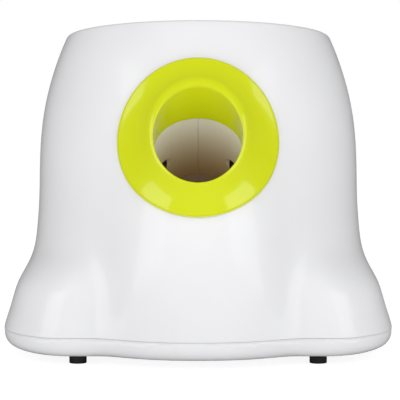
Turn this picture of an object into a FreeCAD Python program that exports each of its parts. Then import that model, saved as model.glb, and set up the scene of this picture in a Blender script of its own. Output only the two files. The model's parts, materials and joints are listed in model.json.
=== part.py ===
import FreeCAD, Part
import math
import os
import re
from fcgear import fcgear
from fcgear import involute

# Automatic ball launcher. Millimetres, +Z up, the launch mouth faces -Y, x = 0 is the mirror plane.
# The origin is on the floor under the middle of the base.

V = FreeCAD.Vector
doc = FreeCAD.newDocument("ball_launcher")
sheet = doc.addObject("Spreadsheet::Sheet", "sizes")

SIZES = {
    # body
    "base_bottom_z": 5.3,
    "parting_z": 17.5,
    "wall": 3.0,
    "floor_thickness": 2.6,
    "seam_gap": 0.3,
    "tongue_height": 5.0,
    "tongue_thickness": 1.8,
    "rim_mid_z": 204.4,
    "rim_lean_deg": 7.6,
    "rim_height": 3.0,
    "rim_ledge": 2.2,
    "nose_blunt_deg": 30.0,
    "nose_sharp_deg": 22.0,
    "lobe_start_deg": 36.0,
    "lobe_peak_deg": 50.0,
    # hopper
    "bowl_radius": 75.0,
    "bowl_mid_radius": 55.0,
    "throat_top_z": 172.0,
    "throat_bottom_z": 168.0,
    # launch tube
    "launch_deg": 45.0,
    "barrel_end_y": -105.0,
    "barrel_end_z": 134.0,
    "bore_radius": 27.5,
    "tube_wall": 2.7,
    "flange_lean_deg": 18.0,
    "flange_z": 144.5,
    "flange_y": -113.0,
    "flange_radius": 50.6,
    "flange_thickness": 3.2,
    "lip_radius": 33.4,
    "lip_height": 3.2,
    "lip_shift": 1.6,
    "flange_gap": 0.2,
    "shell_hole_radius": 37.0,
    "shell_hole_drop": 4.0,
    "stud_radius": 3.4,
    "stud_circle": 45.4,
    "stud_pilot_past": 1.2,
    "retainer_inner": 38.0,
    "retainer_outer": 49.6,
    "retainer_thickness": 2.4,
    # chute
    "chute_radius": 28.0,
    "chute_wall": 3.0,
    "joint_gap": 0.3,
    "half_gap": 0.1,
    "ball_rest": 82.0,
    "ball_radius": 25.4,
    "feed_length": 110.0,
    "lug_radius": 5.0,
    "lug_half": 8.0,
    "lug_offset": 34.5,
    "sensor_along": 33.8,
    "sensor_above": 17.4,
    "sensor_hole_radius": 4.6,
    "sensor_boss_radius": 6.6,
    # striker
    "seat_hole_radius": 19.0,
    "seat_thickness": 4.0,
    "stroke": 22.0,
    "striker_radius": 21.4,
    "running_gap": 0.1,
    "skirt_length": 15.0,
    "skirt_start": 104.5,
    "nose_radius": 17.0,
    "nose_length": 12.5,
    "crown": 3.0,
    "bumper_radius": 15.0,
    "bumper_thickness": 3.0,
    "housing_radius": 25.0,
    "cap_thickness": 3.5,
    "spring_radius": 14.5,
    "spring_wire_radius": 0.9,
    "spring_turns": 6.0,
    # gears
    "rack_module": 1.5,
    "sector_teeth": 18.0,
    "rack_line": 34.0,
    "rack_width": 8.0,
    "rack_start": 115.2,
    "rack_end": 147.0,
    "mesh_along": 142.0,
    "first_module": 0.8,
    "first_wheel_teeth": 50.0,
    "first_pinion_teeth": 12.0,
    "second_module": 0.6,
    "second_wheel_teeth": 48.0,
    "second_pinion_teeth": 14.0,
    "wheel_thickness": 5.0,
    "thin_wheel_thickness": 4.0,
    "reduction_turn_deg": 10.0,
    "motor_turn_deg": 75.0,
    "axle_radius": 2.0,
    "axle_gap": 0.05,
    "plate_thickness": 2.5,
    "left_plate_x": -8.0,
    "right_plate_x": 19.0,
    "spacer_radius": 3.0,
    # motor
    "motor_radius": 13.8,
    "motor_length": 34.0,
    "motor_shaft_radius": 1.15,
    "motor_boss_radius": 5.0,
    # batteries
    "cell_radius": 13.1,
    "cell_length": 50.0,
    "cell_nub": 1.5,
    "contact_thickness": 0.5,
    "cell_pitch": 26.6,
    "box_front_y": 41.0,
    "box_half_width": 57.0,
    "box_wall": 2.0,
    "box_roof_z": 38.0,
    "roof_thickness": 3.2,
    "door_thickness": 2.0,
    "door_gap": 0.3,
    # rear panel
    "panel_y": 111.0,
    "panel_half_width": 35.7,
    "panel_low_z": 44.3,
    "panel_high_z": 73.7,
    "panel_thickness": 2.0,
    "button_radius": 5.5,
    "button_gap": 0.2,
    "rocker_x": -22.0,
    "jack_x": 25.0,
    "panel_mid_z": 59.0,
    "rocker_tilt_deg": 8.0,
    # feet and fixings
    "foot_x": 75.8,
    "foot_y": 92.0,
    "foot_radius": 5.5,
    "foot_stem_radius": 3.0,
    "column_x": 88.0,
    "column_y": 72.0,
    "column_radius": 4.5,
    "screw_radius": 1.5,
    "screw_head_radius": 2.8,
    "screw_head_height": 1.8,
    "pilot_radius": 1.5,
}
for row, (alias, value) in enumerate(SIZES.items(), start=1):
    sheet.set("A%d" % row, alias)
    sheet.set("B%d" % row, str(value))
    sheet.setAlias("B%d" % row, alias)
doc.recompute()


def size(alias):
    return float(sheet.get(alias))


# ---------------------------------------------------------------- helpers


def bind(obj, prop, text):
    """Drives one property of obj by an expression in the names of the sheet."""
    obj.setExpression(prop, re.sub(r"[a-z][a-z_]+", lambda m: "sizes." + m.group(0), text))


def box(name, x0, x1, y0, y1, z0, z1):
    obj = doc.addObject("Part::Box", name)
    bind(obj, "Length", "(%s) - (%s)" % (x1, x0))
    bind(obj, "Width", "(%s) - (%s)" % (y1, y0))
    bind(obj, "Height", "(%s) - (%s)" % (z1, z0))
    bind(obj, "Placement.Base.x", x0)
    bind(obj, "Placement.Base.y", y0)
    bind(obj, "Placement.Base.z", z0)
    return obj


def rod(name, radius, length, start=(0, 0, 0), along=(0, 0, 1)):
    """A cylinder from the point start in the direction along; radius and length are expressions."""
    obj = doc.addObject("Part::Cylinder", name)
    bind(obj, "Radius", radius)
    bind(obj, "Height", length)
    obj.Placement = FreeCAD.Placement(V(*start), FreeCAD.Rotation(V(0, 0, 1), V(*along)))
    return obj


def ball(name, radius, centre):
    obj = doc.addObject("Part::Sphere", name)
    bind(obj, "Radius", radius)
    obj.Placement = FreeCAD.Placement(V(*centre), FreeCAD.Rotation())
    return obj


def fuse(name, parts):
    obj = doc.addObject("Part::MultiFuse", name)
    obj.Shapes = parts
    return obj


def cut(name, base, tools):
    tool = tools[0] if len(tools) == 1 else fuse(name + "_tools", tools)
    obj = doc.addObject("Part::Cut", name)
    obj.Base = base
    obj.Tool = tool
    return obj


def weld(name, parts):
    """Joins the parts one after another."""
    whole = parts[0]
    for i, part in enumerate(parts[1:]):
        step = doc.addObject("Part::Fuse", "%s_%d" % (name, i))
        step.Base = whole
        step.Tool = part
        whole = step
    return whole


def carve(name, base, tools):
    """Takes the tools away one after another."""
    whole = base
    for i, tool in enumerate(tools):
        step = doc.addObject("Part::Cut", "%s_%d" % (name, i))
        step.Base = whole
        step.Tool = tool
        whole = step
    return whole


def common(name, a, b):
    obj = doc.addObject("Part::Common", name)
    obj.Base = a
    obj.Tool = b
    return obj


def group(name, parts):
    obj = doc.addObject("Part::Compound", name)
    obj.Links = parts
    return obj


def fixed(name, shape):
    """A shape that no primitive gives; its sizes were read from the sheet."""
    obj = doc.addObject("Part::Feature", name)
    obj.Shape = shape
    return obj


def extrude(name, wire, along, length):
    """A prism on a closed wire object."""
    obj = doc.addObject("Part::Extrusion", name)
    obj.Base = wire
    obj.DirMode = "Custom"
    obj.Dir = V(*along)
    bind(obj, "LengthFwd", length)
    obj.Solid = True
    return obj


def polygon(name, points):
    corners = [V(*p) for p in points]
    return fixed(name, Part.makePolygon(corners + [corners[0]]))


nodes = []


def node(obj, label):
    """Names a finished piece; its file takes the same name."""
    obj.Label = label
    nodes.append(obj)
    return obj


# ---------------------------------------------------------------- body surface

# height: core radius, nose height in front and behind, lobe height, bluntness of the nose from 0 to 1
LEVELS = [
    (5.0, 119.0, 7.0, 26.0, 1.0),
    (17.5, 118.0, 7.5, 27.0, 1.0),
    (27.0, 115.0, 10.5, 27.0, 1.0),
    (37.0, 111.8, 13.8, 27.0, 0.95),
    (47.0, 109.7, 16.0, 24.5, 0.9),
    (57.0, 108.6, 17.0, 16.0, 0.8),
    (67.0, 108.2, 17.2, 6.5, 0.7),
    (78.0, 107.8, 17.0, 1.8, 0.6),
    (95.0, 106.9, 16.6, 0.0, 0.45),
    (120.0, 106.2, 13.4, 0.0, 0.25),
    (145.0, 104.5, 8.5, 0.0, 0.1),
    (165.0, 101.0, 4.5, 0.0, 0.0),
    (185.0, 95.2, 1.4, 0.0, 0.0),
    (200.0, 89.4, 0.2, 0.0, 0.0),
    (213.0, 83.0, 0.0, 0.0, 0.0),
    (226.0, 75.5, 0.0, 0.0, 0.0),
]
ROUND_POINTS = 48


def lobe_share(angle):
    """0 under the nose, 1 on the lobe, 0.2 at the side; angle from the nose in degrees."""
    rise = 1.0 / (1.0 + math.exp(-(angle - size("lobe_start_deg")) / 3.2))
    if angle <= size("lobe_peak_deg"):
        return rise
    turn = 90.0 * (angle - size("lobe_peak_deg")) / (90.0 - size("lobe_peak_deg"))
    return rise * (0.2 + 0.8 * math.cos(math.radians(turn)) ** 2)


def nose_share(angle, blunt):
    width = size("nose_sharp_deg") + blunt * (size("nose_blunt_deg") - size("nose_sharp_deg"))
    return math.exp(-((angle / width) ** (2.0 + 2.0 * blunt)))


def section(level, grow, z=None):
    """The closed outline of the body at one level, moved outwards by grow."""
    height, core, nose, lobe, blunt = level
    points = []
    for i in range(ROUND_POINTS):
        turn = 360.0 * i / ROUND_POINTS
        angle = abs((turn + 90.0) % 180.0 - 90.0)
        r = core + nose * nose_share(angle, blunt) + lobe * lobe_share(angle) + grow
        a = math.radians(turn)
        points.append(V(r * math.sin(a), -r * math.cos(a), height if z is None else z))
    curve = Part.BSplineCurve()
    curve.interpolate(points, PeriodicFlag=True)
    return Part.Wire(curve.toShape())


def at_height(z):
    """The level table read at any height."""
    for low, high in zip(LEVELS, LEVELS[1:]):
        if low[0] <= z <= high[0]:
            t = (z - low[0]) / (high[0] - low[0])
            return tuple(a + t * (b - a) for a, b in zip(low, high))
    raise ValueError(z)


def body_solid(name, levels, grow):
    wires = [section(level, grow) for level in levels]
    return fixed(name, Part.makeLoft(wires, True, False))


upper_levels = [at_height(size("parting_z") + size("seam_gap"))] + [lv for lv in LEVELS if lv[0] > 20]

# ---------------------------------------------------------------- frames

lean = math.radians(size("launch_deg"))
AWAY = V(0, -math.cos(lean), math.sin(lean))
ACROSS = V(0, math.sin(lean), math.cos(lean))
BARREL_END = V(0, size("barrel_end_y"), size("barrel_end_z"))
barrel_frame = FreeCAD.Placement(BARREL_END, FreeCAD.Rotation(V(1, 0, 0), 90.0 - size("launch_deg")))
flange_lean = math.radians(size("flange_lean_deg"))
OUT = V(0, -math.cos(flange_lean), math.sin(flange_lean))
UPWARD = V(0, math.sin(flange_lean), math.cos(flange_lean))
RING = V(0, size("flange_y"), size("flange_z"))
rim_lean = math.radians(size("rim_lean_deg"))
RIM_OUT = V(0, math.sin(rim_lean), math.cos(rim_lean))
RIM_MID = V(0, 0, size("rim_mid_z"))


def along(s, v=0.0, x=0.0):
    """The point s behind the end of the launch tube, v above its axis."""
    return BARREL_END - AWAY * s + ACROSS * v + V(x, 0, 0)


def xyz(v):
    return (v.x, v.y, v.z)


def rim_cutter(name, drop):
    """A block whose underside is the leaning rim plane lowered by drop."""
    obj = doc.addObject("Part::Box", name)
    obj.Length = 300
    obj.Width = 300
    obj.Height = 80
    turn = FreeCAD.Rotation(V(1, 0, 0), -size("rim_lean_deg"))
    corner = RIM_MID - RIM_OUT * drop + turn.multVec(V(-150, -150, 0))
    obj.Placement = FreeCAD.Placement(corner, turn)
    return obj


# ---------------------------------------------------------------- upper shell

outer = body_solid("outer_body", upper_levels, 0.0)
inner = body_solid("inner_body", upper_levels, -size("wall"))


def mirrored_four(x, y):
    return [(sx * x, sy * y) for sx in (-1, 1) for sy in (-1, 1)]


column_spots = mirrored_four(size("column_x"), size("column_y"))
columns = [
    rod("column_%d" % i, "column_radius", "62", (x, y, size("base_bottom_z") + size("floor_thickness") + 0.1))
    for i, (x, y) in enumerate(column_spots)
]
pocket_block = box("pocket_block", "-(panel_half_width + 2.8)", "panel_half_width + 2.8",
                   "panel_y - 2.5", "panel_y + 30", "panel_low_z - 2.8", "panel_high_z + 2.8")
pocket = box("pocket", "-(panel_half_width + 0.3)", "panel_half_width + 0.3",
             "panel_y", "panel_y + 40", "panel_low_z - 0.3", "panel_high_z + 0.3")
window = box("window", "-(panel_half_width - 3.2)", "panel_half_width - 3.2",
             "panel_y - 10", "panel_y + 2", "panel_low_z + 3.2", "panel_high_z - 3.2")
HOLE = RING - UPWARD * size("shell_hole_drop")
ring_hole = rod("ring_hole", "shell_hole_radius", "60", xyz(HOLE - OUT * 30), xyz(OUT))
stud_angles = (45, 135, 225, 315)


def stud_point(angle, depth):
    a = math.radians(angle)
    r = size("stud_circle")
    return xyz(RING + V(r * math.cos(a), 0, 0) + UPWARD * (r * math.sin(a)) - OUT * depth)


def surface_depth(angle, inset=0.0, beside=0.0, above=0.0):
    """How far behind the flange plane the body surface, moved inwards by inset, lies near one stud."""
    near = -10.0
    far = 40.0
    for _ in range(40):
        depth = (near + far) / 2
        x, y, z = xyz(V(*stud_point(angle, depth)) + V(beside, 0, 0) + UPWARD * above)
        height, core, nose, lobe, blunt = at_height(z)
        turn = math.degrees(math.atan2(abs(x), -y))
        if math.hypot(x, y) < core + nose * nose_share(turn, blunt) + lobe * lobe_share(turn) - inset:
            far = depth
        else:
            near = depth
    return near


def depths_round(angle, inset, reach):
    """The depths of the inset surface at twelve points at a distance of reach round one stud."""
    turns = [math.radians(30 * i) for i in range(12)]
    return [surface_depth(angle, inset, reach * math.cos(t), reach * math.sin(t)) for t in turns]


def stud_end_depth(angle):
    """Where a stud stops just short of the shell's inner face all round."""
    return min(depths_round(angle, size("wall") - 0.3, size("stud_radius")))


def screw_seat_depth(angle):
    """Where the head of a ring screw clears the back of the retainer all round."""
    inset = size("wall") + size("retainer_thickness") + size("flange_gap")
    return max(depths_round(angle, inset, size("screw_head_radius"))) + 0.3


stud_holes = [
    rod("stud_hole_%d" % a, "stud_radius + 0.3", "50", stud_point(a, 30), xyz(OUT)) for a in stud_angles
]
base_pilots = [
    rod("base_pilot_%d" % i, "pilot_radius", "14", (x, y, size("base_bottom_z") + 2))
    for i, (x, y) in enumerate(column_spots)
]
# the hopper's rim rests on a ledge that runs round inside the shell
top_levels = [lv for lv in LEVELS if lv[0] > 160]
ledge_eye = body_solid("ledge_eye", top_levels, -size("wall") - size("rim_ledge"))
ledge = cut("ledge", rim_cutter("ledge_low", size("rim_height") + 2.4),
            [rim_cutter("ledge_high", size("rim_height")), ledge_eye])
void = cut("shell_void", inner, columns + [pocket_block, ledge])
shell = cut("shell_hollow", outer, [void])
shell = cut("shell_topped", shell, [rim_cutter("shell_top", 0.0)])
shell = cut("shell_pocket", shell, [pocket, window])
shell = cut("shell_low", shell, base_pilots)
shell = cut("shell", shell, [ring_hole] + stud_holes)
node(shell, "upper_shell")

# ---------------------------------------------------------------- base tray

BASE_STEPS = [(5.3, 8.5), (6.8, 4.8), (9.5, 1.8), (13.0, 0.4), (17.5, 0.0)]
base_wires = [section(at_height(z), -inset) for z, inset in BASE_STEPS]
base_outer = fixed("base_outer", Part.makeLoft(base_wires, True, False))
floor_top = size("base_bottom_z") + size("floor_thickness")
hollow_wires = [section(at_height(z), -inset) for z, inset in
                [(floor_top, 7.6), (10.5, 5.2), (14.0, 5.0), (26.0, 5.0)]]
base_hollow = fixed("base_hollow", Part.makeLoft(hollow_wires, True, False))
tongue_top = size("parting_z") + size("tongue_height")
tongue_levels = [at_height(12.0), at_height(size("parting_z")), at_height(tongue_top)]
tongue = fixed("tongue", Part.makeLoft([section(lv, -size("wall") - 0.2) for lv in tongue_levels], True, True))
box_back = "box_front_y + 2*box_wall + 2*cell_pitch"
battery_outer = box("battery_outer", "-box_half_width", "box_half_width", "box_front_y", box_back,
                    "base_bottom_z + 1", "box_roof_z")
battery_inner = box("battery_inner", "-(box_half_width - box_wall)", "box_half_width - box_wall",
                    "box_front_y + box_wall", box_back + " - box_wall",
                    "base_bottom_z + floor_thickness", "box_roof_z - roof_thickness")
door_hole = box("door_hole", "-(box_half_width - 6)", "box_half_width - 6", "box_front_y + 5", box_back + " - 5",
                "base_bottom_z - 2", "base_bottom_z + floor_thickness + 1")
SHOES = [(-35, -65), (35, -65), (-31, -21), (31, -21)]
posts = [
    rod("chute_post_%d" % i, "4.5", "16.2", (x, y, floor_top - 0.2))
    for i, (x, y) in enumerate(SHOES)
]
post_pilots = [
    rod("post_pilot_%d" % i, "pilot_radius", "12", (x, y, floor_top + 6))
    for i, (x, y) in enumerate(SHOES)
]
roof_pilots = [
    rod("roof_pilot_%d" % i, "pilot_radius", "6", (x, y, size("box_roof_z") - 5))
    for i, (x, y) in enumerate([(-14, 55), (-14, 75), (28, 55), (28, 75)])
]
base_shank_holes = [
    rod("base_hole_%d" % i, "screw_radius + 0.3", "12", (x, y, 0)) for i, (x, y) in enumerate(column_spots)
]
base_head_holes = [
    rod("base_sink_%d" % i, "screw_head_radius + 0.3", "5.3 + 1.2", (x, y, 0))
    for i, (x, y) in enumerate(column_spots)
]
foot_spots = mirrored_four(size("foot_x"), size("foot_y"))
foot_holes = [
    rod("foot_hole_%d" % i, "foot_stem_radius + 0.05", "20", (x, y, 0)) for i, (x, y) in enumerate(foot_spots)
]
tray = cut("tray_empty", fuse("tray_block", [base_outer, tongue]), [base_hollow])
tray = fuse("tray_full", [tray, battery_outer] + posts)
tray = cut("tray", tray, [battery_inner, door_hole] + post_pilots + roof_pilots
           + base_shank_holes + base_head_holes + foot_holes)
node(tray, "base_tray")

door_plate = box("door_plate", "-(box_half_width - 6 - door_gap)", "box_half_width - 6 - door_gap",
                 "box_front_y + 5 + door_gap", box_back + " - 5 - door_gap",
                 "base_bottom_z + 0.2", "base_bottom_z + 0.2 + door_thickness")
grip_slots = [
    box("grip_slot_%d" % i, "-9", "9", "box_front_y + 42 + %d" % (4 * i), "box_front_y + 44 + %d" % (4 * i),
        "base_bottom_z - 1", "base_bottom_z + 1.1") for i in range(2)
]
node(cut("door", door_plate, grip_slots), "battery_door")

feet = []
for i, (x, y) in enumerate(foot_spots):
    pad = rod("foot_pad_%d" % i, "foot_radius", "base_bottom_z - 0.05", (x, y, 0))
    stem = rod("foot_stem_%d" % i, "foot_stem_radius", "base_bottom_z + floor_thickness + 1", (x, y, 0))
    bead = rod("foot_bead_%d" % i, "foot_stem_radius + 0.9", "1.2", (x, y, floor_top + 0.1))
    feet.append(fuse("foot_%d" % i, [pad, stem, bead]))
node(group("feet", feet), "rubber_feet")


def screw(name, point, direction, length, head="screw_head_radius"):
    """A pan-head screw: its head starts at point and its shank runs in direction."""
    d = V(*direction)
    p = V(*point)
    shank = rod(name + "_shank", "screw_radius - 0.02", str(length), xyz(p), direction)
    top = rod(name + "_head", head, "screw_head_height", xyz(p - d * size("screw_head_height")), direction)
    slot = doc.addObject("Part::Box", name + "_slot")
    slot.Length = 3.2
    slot.Width = 0.7
    slot.Height = 0.8
    turn = FreeCAD.Rotation(V(0, 0, 1), d)
    slot.Placement = FreeCAD.Placement(p - d * size("screw_head_height") + turn.multVec(V(-1.6, -0.35, 0)), turn)
    return cut(name, fuse(name + "_body", [shank, top]), [slot])


base_screws = [
    screw("base_screw_%d" % i, (x, y, 6.5), (0, 0, 1), 10) for i, (x, y) in enumerate(column_spots)
]
node(group("base_screw_set", base_screws), "base_screws")

# ---------------------------------------------------------------- hopper bowl

rim_band = body_solid("rim_band", top_levels, -size("wall") - size("seam_gap"))
rim_low = rim_cutter("rim_low", size("rim_height") - 0.05)
rim_high = rim_cutter("rim_high", 0.0)
rim = cut("rim", common("rim_slab", rim_band, rim_low), [rim_high])
throat = along(size("ball_rest")) + ACROSS * size("feed_length")


def rim_circle(radius, lift):
    return Part.Wire(Part.Circle(RIM_MID + RIM_OUT * lift, RIM_OUT, radius).toShape())


def flat_circle(radius, y, z):
    return Part.Wire(Part.Circle(V(0, y, z), V(0, 0, 1), radius).toShape())


def bowl_solid(name, extra, bottom):
    """The bowl from its leaning rim to its round throat, grown by extra."""
    mid_y = throat.y * 0.55
    wires = [
        flat_circle(size("chute_radius") + extra, throat.y, bottom),
        flat_circle(size("chute_radius") + extra + 1.0, throat.y, size("throat_top_z") - extra),
        flat_circle(size("bowl_mid_radius") + extra, mid_y, 183.0 - extra),
        rim_circle(size("bowl_radius") + extra, 0.0 if extra else 2.0),
    ]
    return fixed(name, Part.makeLoft(wires, True, True))


bowl_outside = cut("bowl_outside", bowl_solid("bowl_out", 2.6, size("throat_bottom_z")), [rim_cutter("bowl_top", 0.5)])
bowl_inside = bowl_solid("bowl_in", 0.0, size("throat_bottom_z") - 1.0)
node(cut("hopper", fuse("hopper_block", [rim, bowl_outside]), [bowl_inside]), "hopper_bowl")

# ---------------------------------------------------------------- launch ring


def front_patch(name, grow, depth=70):
    """A block on the body surface round the mouth, moved outwards by grow: the surface is its front
    face, or its back face where depth is negative."""
    rows = []
    for height, core, nose, lobe, blunt in LEVELS[5:15]:
        row = []
        for i in range(-8, 9):
            angle = 4.5 * i
            r = core + nose * nose_share(abs(angle), blunt) + lobe * lobe_share(abs(angle)) + grow
            a = math.radians(angle)
            row.append(V(r * math.sin(a), -r * math.cos(a), height))
        rows.append(row)
    face = Part.BSplineSurface()
    face.interpolate(rows)
    return fixed(name, face.toShape().extrude(V(0, depth, 0)))


plug = common("plug", front_patch("thick_front", size("flange_thickness")),
              rod("flange_disc", "flange_radius", "70", xyz(RING - OUT * 38), xyz(OUT)))
lip_mid = RING + UPWARD * size("lip_shift")
lip_front = size("flange_thickness") + size("lip_height")
round_off = 2.6
lip_corner = size("lip_radius") - round_off
lip_wire = Part.Wire([
    Part.LineSegment(V(0, 0, -8), V(size("lip_radius"), 0, -8)).toShape(),
    Part.LineSegment(V(size("lip_radius"), 0, -8), V(size("lip_radius"), 0, lip_front - round_off)).toShape(),
    Part.Arc(V(size("lip_radius"), 0, lip_front - round_off),
             V(lip_corner + round_off * math.cos(math.pi / 4), 0, lip_front - round_off * (1 - math.sin(math.pi / 4))),
             V(lip_corner, 0, lip_front)).toShape(),
    Part.LineSegment(V(lip_corner, 0, lip_front), V(0, 0, lip_front)).toShape(),
    Part.LineSegment(V(0, 0, lip_front), V(0, 0, -8)).toShape(),
])
lip = fixed("lip", Part.Face(lip_wire).revolve(V(0, 0, 0), V(0, 0, 1), 360))
lip.Placement = FreeCAD.Placement(lip_mid, FreeCAD.Rotation(V(0, 0, 1), OUT))
chin = common("chin", rod("chin_tube", "bore_radius + tube_wall", "66", xyz(BARREL_END - AWAY * 6), xyz(AWAY)),
              rod("chin_slab", "lip_radius + 8", str(lip_front - round_off + 0.8 + 8), xyz(RING - OUT * 8), xyz(OUT)))
ring_block = weld("ring_block", [plug, lip, chin])
kept = [rod("tube_kept", "bore_radius + tube_wall", "70", xyz(BARREL_END), xyz(AWAY))]
for a in stud_angles:
    end = stud_end_depth(a)
    kept.append(rod("stud_%d" % a, "stud_radius", str(end + 12), stud_point(a, end), xyz(OUT)))
waste = cut("ring_waste", front_patch("flush_front", size("flange_gap")), kept)
bore = rod("bore", "bore_radius", "100", xyz(BARREL_END - AWAY * 12), xyz(AWAY))
stud_pilots = [
    rod("stud_pilot_%d" % a, "pilot_radius", "4 + stud_pilot_past", stud_point(a, surface_depth(a) + 4), xyz(OUT))
    for a in stud_angles
]
ring_solid = cut("ring_solid", ring_block, [waste])
ring_bored = cut("ring_bored", ring_solid, [bore])
node(cut("ring", ring_bored, stud_pilots), "launch_ring")

retainer_face = size("wall") + size("flange_gap")
retainer_back = front_patch("retainer_back", -retainer_face - size("retainer_thickness"))
retainer_front = front_patch("retainer_front", -retainer_face)
retainer_disc = rod("retainer_disc", "retainer_outer", "60", xyz(RING - OUT * 50), xyz(OUT))
retainer_eye = rod("retainer_eye", "retainer_inner", "80", xyz(HOLE - OUT * 60), xyz(OUT))
retainer_holes = [
    rod("retainer_hole_%d" % a, "screw_radius + 0.3", "60", stud_point(a, 50), xyz(OUT)) for a in stud_angles
]
washer = cut("retainer_washer", retainer_disc, [retainer_eye] + retainer_holes)
node(cut("retainer", common("retainer_front_cut", washer, retainer_front), [retainer_back]), "ring_retainer")

# ---------------------------------------------------------------- chute halves

rest = size("ball_rest")
seat_face = rest + math.sqrt(size("ball_radius") ** 2 - size("seat_hole_radius") ** 2)
seat_back = seat_face + size("seat_thickness")
cap_face = size("skirt_start") + size("skirt_length") + size("stroke") + 1.5
REST_POINT = along(rest)
solid_parts = [
    rod("barrel_out", "chute_radius + chute_wall", str(seat_back + 2.0 - size("joint_gap")),
        xyz(along(size("joint_gap"))), xyz(-AWAY)),
    rod("housing_out", "housing_radius", str(cap_face - seat_back), xyz(along(seat_back)), xyz(-AWAY)),
    rod("feed_out", "chute_radius + chute_wall", "feed_length", xyz(REST_POINT), xyz(ACROSS)),
    ball("elbow_out", "chute_radius + chute_wall", xyz(throat)),
    rod("collar_out", "chute_radius + chute_wall", "30", xyz(throat)),
]
hollow_parts = [
    rod("barrel_in", "chute_radius", str(seat_back + 20), xyz(along(-20)), xyz(-AWAY)),
    rod("housing_in", "striker_radius + running_gap", "120", xyz(along(seat_back - 5)), xyz(-AWAY)),
    rod("feed_in", "chute_radius", "feed_length", xyz(REST_POINT), xyz(ACROSS)),
    ball("elbow_in", "chute_radius", xyz(throat)),
    rod("collar_in", "chute_radius", "40", xyz(throat)),
]
lug_spots = [
    along(30, -size("lug_offset")),
    along(80, -size("lug_offset")),
    along(12, size("lug_offset")),
    REST_POINT + ACROSS * 60 + AWAY * size("lug_offset"),
    REST_POINT + ACROSS * 95 - AWAY * size("lug_offset"),
]
for i, spot in enumerate(lug_spots):
    start = xyz(spot - V(size("lug_half"), 0, 0))
    solid_parts.append(rod("lug_%d" % i, "lug_radius", "2*lug_half", start, (1, 0, 0)))
for side in (-1, 1):
    start = xyz(along(size("sensor_along"), size("sensor_above"), side * 20))
    solid_parts.append(rod("sensor_boss_%d" % (side + 1), "sensor_boss_radius", "11.5", start, (side, 0, 0)))
for side, name in ((-1, "l"), (1, "r")):
    near = "23" if side > 0 else "-30"
    far = "30" if side > 0 else "-23"
    solid_parts.append(box("front_leg_" + name, near, far, "-78", "-52", "24", "80"))
    near = "22" if side > 0 else "-40"
    far = "40" if side > 0 else "-22"
    solid_parts.append(box("front_shoe_" + name, near, far, "-74", "-56", "24", "27"))
    near = "19.5" if side > 0 else "-25"
    far = "25" if side > 0 else "-19.5"
    solid_parts.append(box("rear_leg_" + name, near, far, "-28", "-15", "24", "46"))
    near = "20" if side > 0 else "-36"
    far = "36" if side > 0 else "-20"
    solid_parts.append(box("rear_shoe_" + name, near, far, "-27", "-15", "24", "27"))
    ear = rod("cap_ear_" + name, "4.5", "8", xyz(along(cap_face - 8, 0, side * 27.5)), xyz(-AWAY))
    solid_parts.append(ear)
for i, (x, y) in enumerate(SHOES):
    hollow_parts.append(rod("shoe_hole_%d" % i, "screw_radius + 0.3", "8", (x, y, 22)))
for i, spot in enumerate(lug_spots):
    hollow_parts.append(rod("lug_hole_%d" % i, "screw_radius + 0.05", "40", xyz(spot - V(20, 0, 0)), (1, 0, 0)))
hollow_parts.append(rod("sensor_bore", "sensor_hole_radius", "80",
                        xyz(along(size("sensor_along"), size("sensor_above"), -40)), (1, 0, 0)))
for side in (-1, 1):
    spot = along(cap_face - 9, 0, side * 28.2)
    hollow_parts.append(rod("ear_pilot_%d" % (side + 1), "pilot_radius", "12", xyz(spot), xyz(-AWAY)))
slot = doc.addObject("Part::Box", "rack_slot")
slot.Length = 6.8
slot.Width = 14
slot.Height = cap_face - size("rack_start") + 1.1
slot.Placement = barrel_frame.multiply(FreeCAD.Placement(V(-3.4, 16, -cap_face - 0.5), FreeCAD.Rotation()))
hollow_parts.append(slot)
# the barrel ends just behind the ring's flange, inside the hole in the shell
front_limit = front_patch("front_limit", -size("joint_gap"), -60)
collar_limit = box("collar_limit", "-60", "60", "-60", "120", "throat_bottom_z - joint_gap", "throat_bottom_z + 60")
chute_block = carve("chute_block", weld("chute_solid", solid_parts), hollow_parts + [front_limit, collar_limit])
left_space = box("left_space", "-80", "-half_gap", "-160", "120", "0", "230")
right_space = box("right_space", "half_gap", "80", "-160", "120", "0", "230")
node(common("chute_l", chute_block, left_space), "chute_left")
node(common("chute_r", chute_block, right_space), "chute_right")

lug_screws = [
    screw("chute_screw_%d" % i, xyz(spot + V(size("lug_half"), 0, 0)), (-1, 0, 0), 14)
    for i, spot in enumerate(lug_spots)
]
shoe_screws = [
    screw("shoe_screw_%d" % i, (x, y, 27), (0, 0, -1), 10)
    for i, (x, y) in enumerate(SHOES)
]
node(group("chute_screw_set", lug_screws), "chute_screws")
node(group("mount_screw_set", shoe_screws), "chute_mount_screws")
ring_screws = []
for a in stud_angles:
    seat_depth = screw_seat_depth(a)
    reach = seat_depth - surface_depth(a) + size("stud_pilot_past") - 0.4
    ring_screws.append(screw("ring_screw_%d" % a, stud_point(a, seat_depth), xyz(OUT), reach))

# sensors in the barrel wall
for side, label in ((-1, "ir_emitter"), (1, "ir_receiver")):
    start = xyz(along(size("sensor_along"), size("sensor_above"), side * 20))
    sleeve = rod(label + "_sleeve", "sensor_hole_radius - 0.1", "15", start, (side, 0, 0))
    eye = rod(label + "_eye", "sensor_hole_radius - 1.0", "6", start, (side, 0, 0))
    flush = rod(label + "_flush", "chute_radius + 0.2", "40", xyz(along(60)), xyz(AWAY))
    body = cut(label + "_body", sleeve, [eye, flush])
    lens = ball(label + "_lens", "2.6", xyz(along(size("sensor_along"), size("sensor_above"), side * 26)))
    start = xyz(along(size("sensor_along"), size("sensor_above"), side * 35))
    board = rod(label + "_board", "sensor_boss_radius", "1.4", start, (side, 0, 0))
    node(fuse(label + "_all", [body, lens, board]), label)

# ---------------------------------------------------------------- seat, striker, spring, cap


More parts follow.
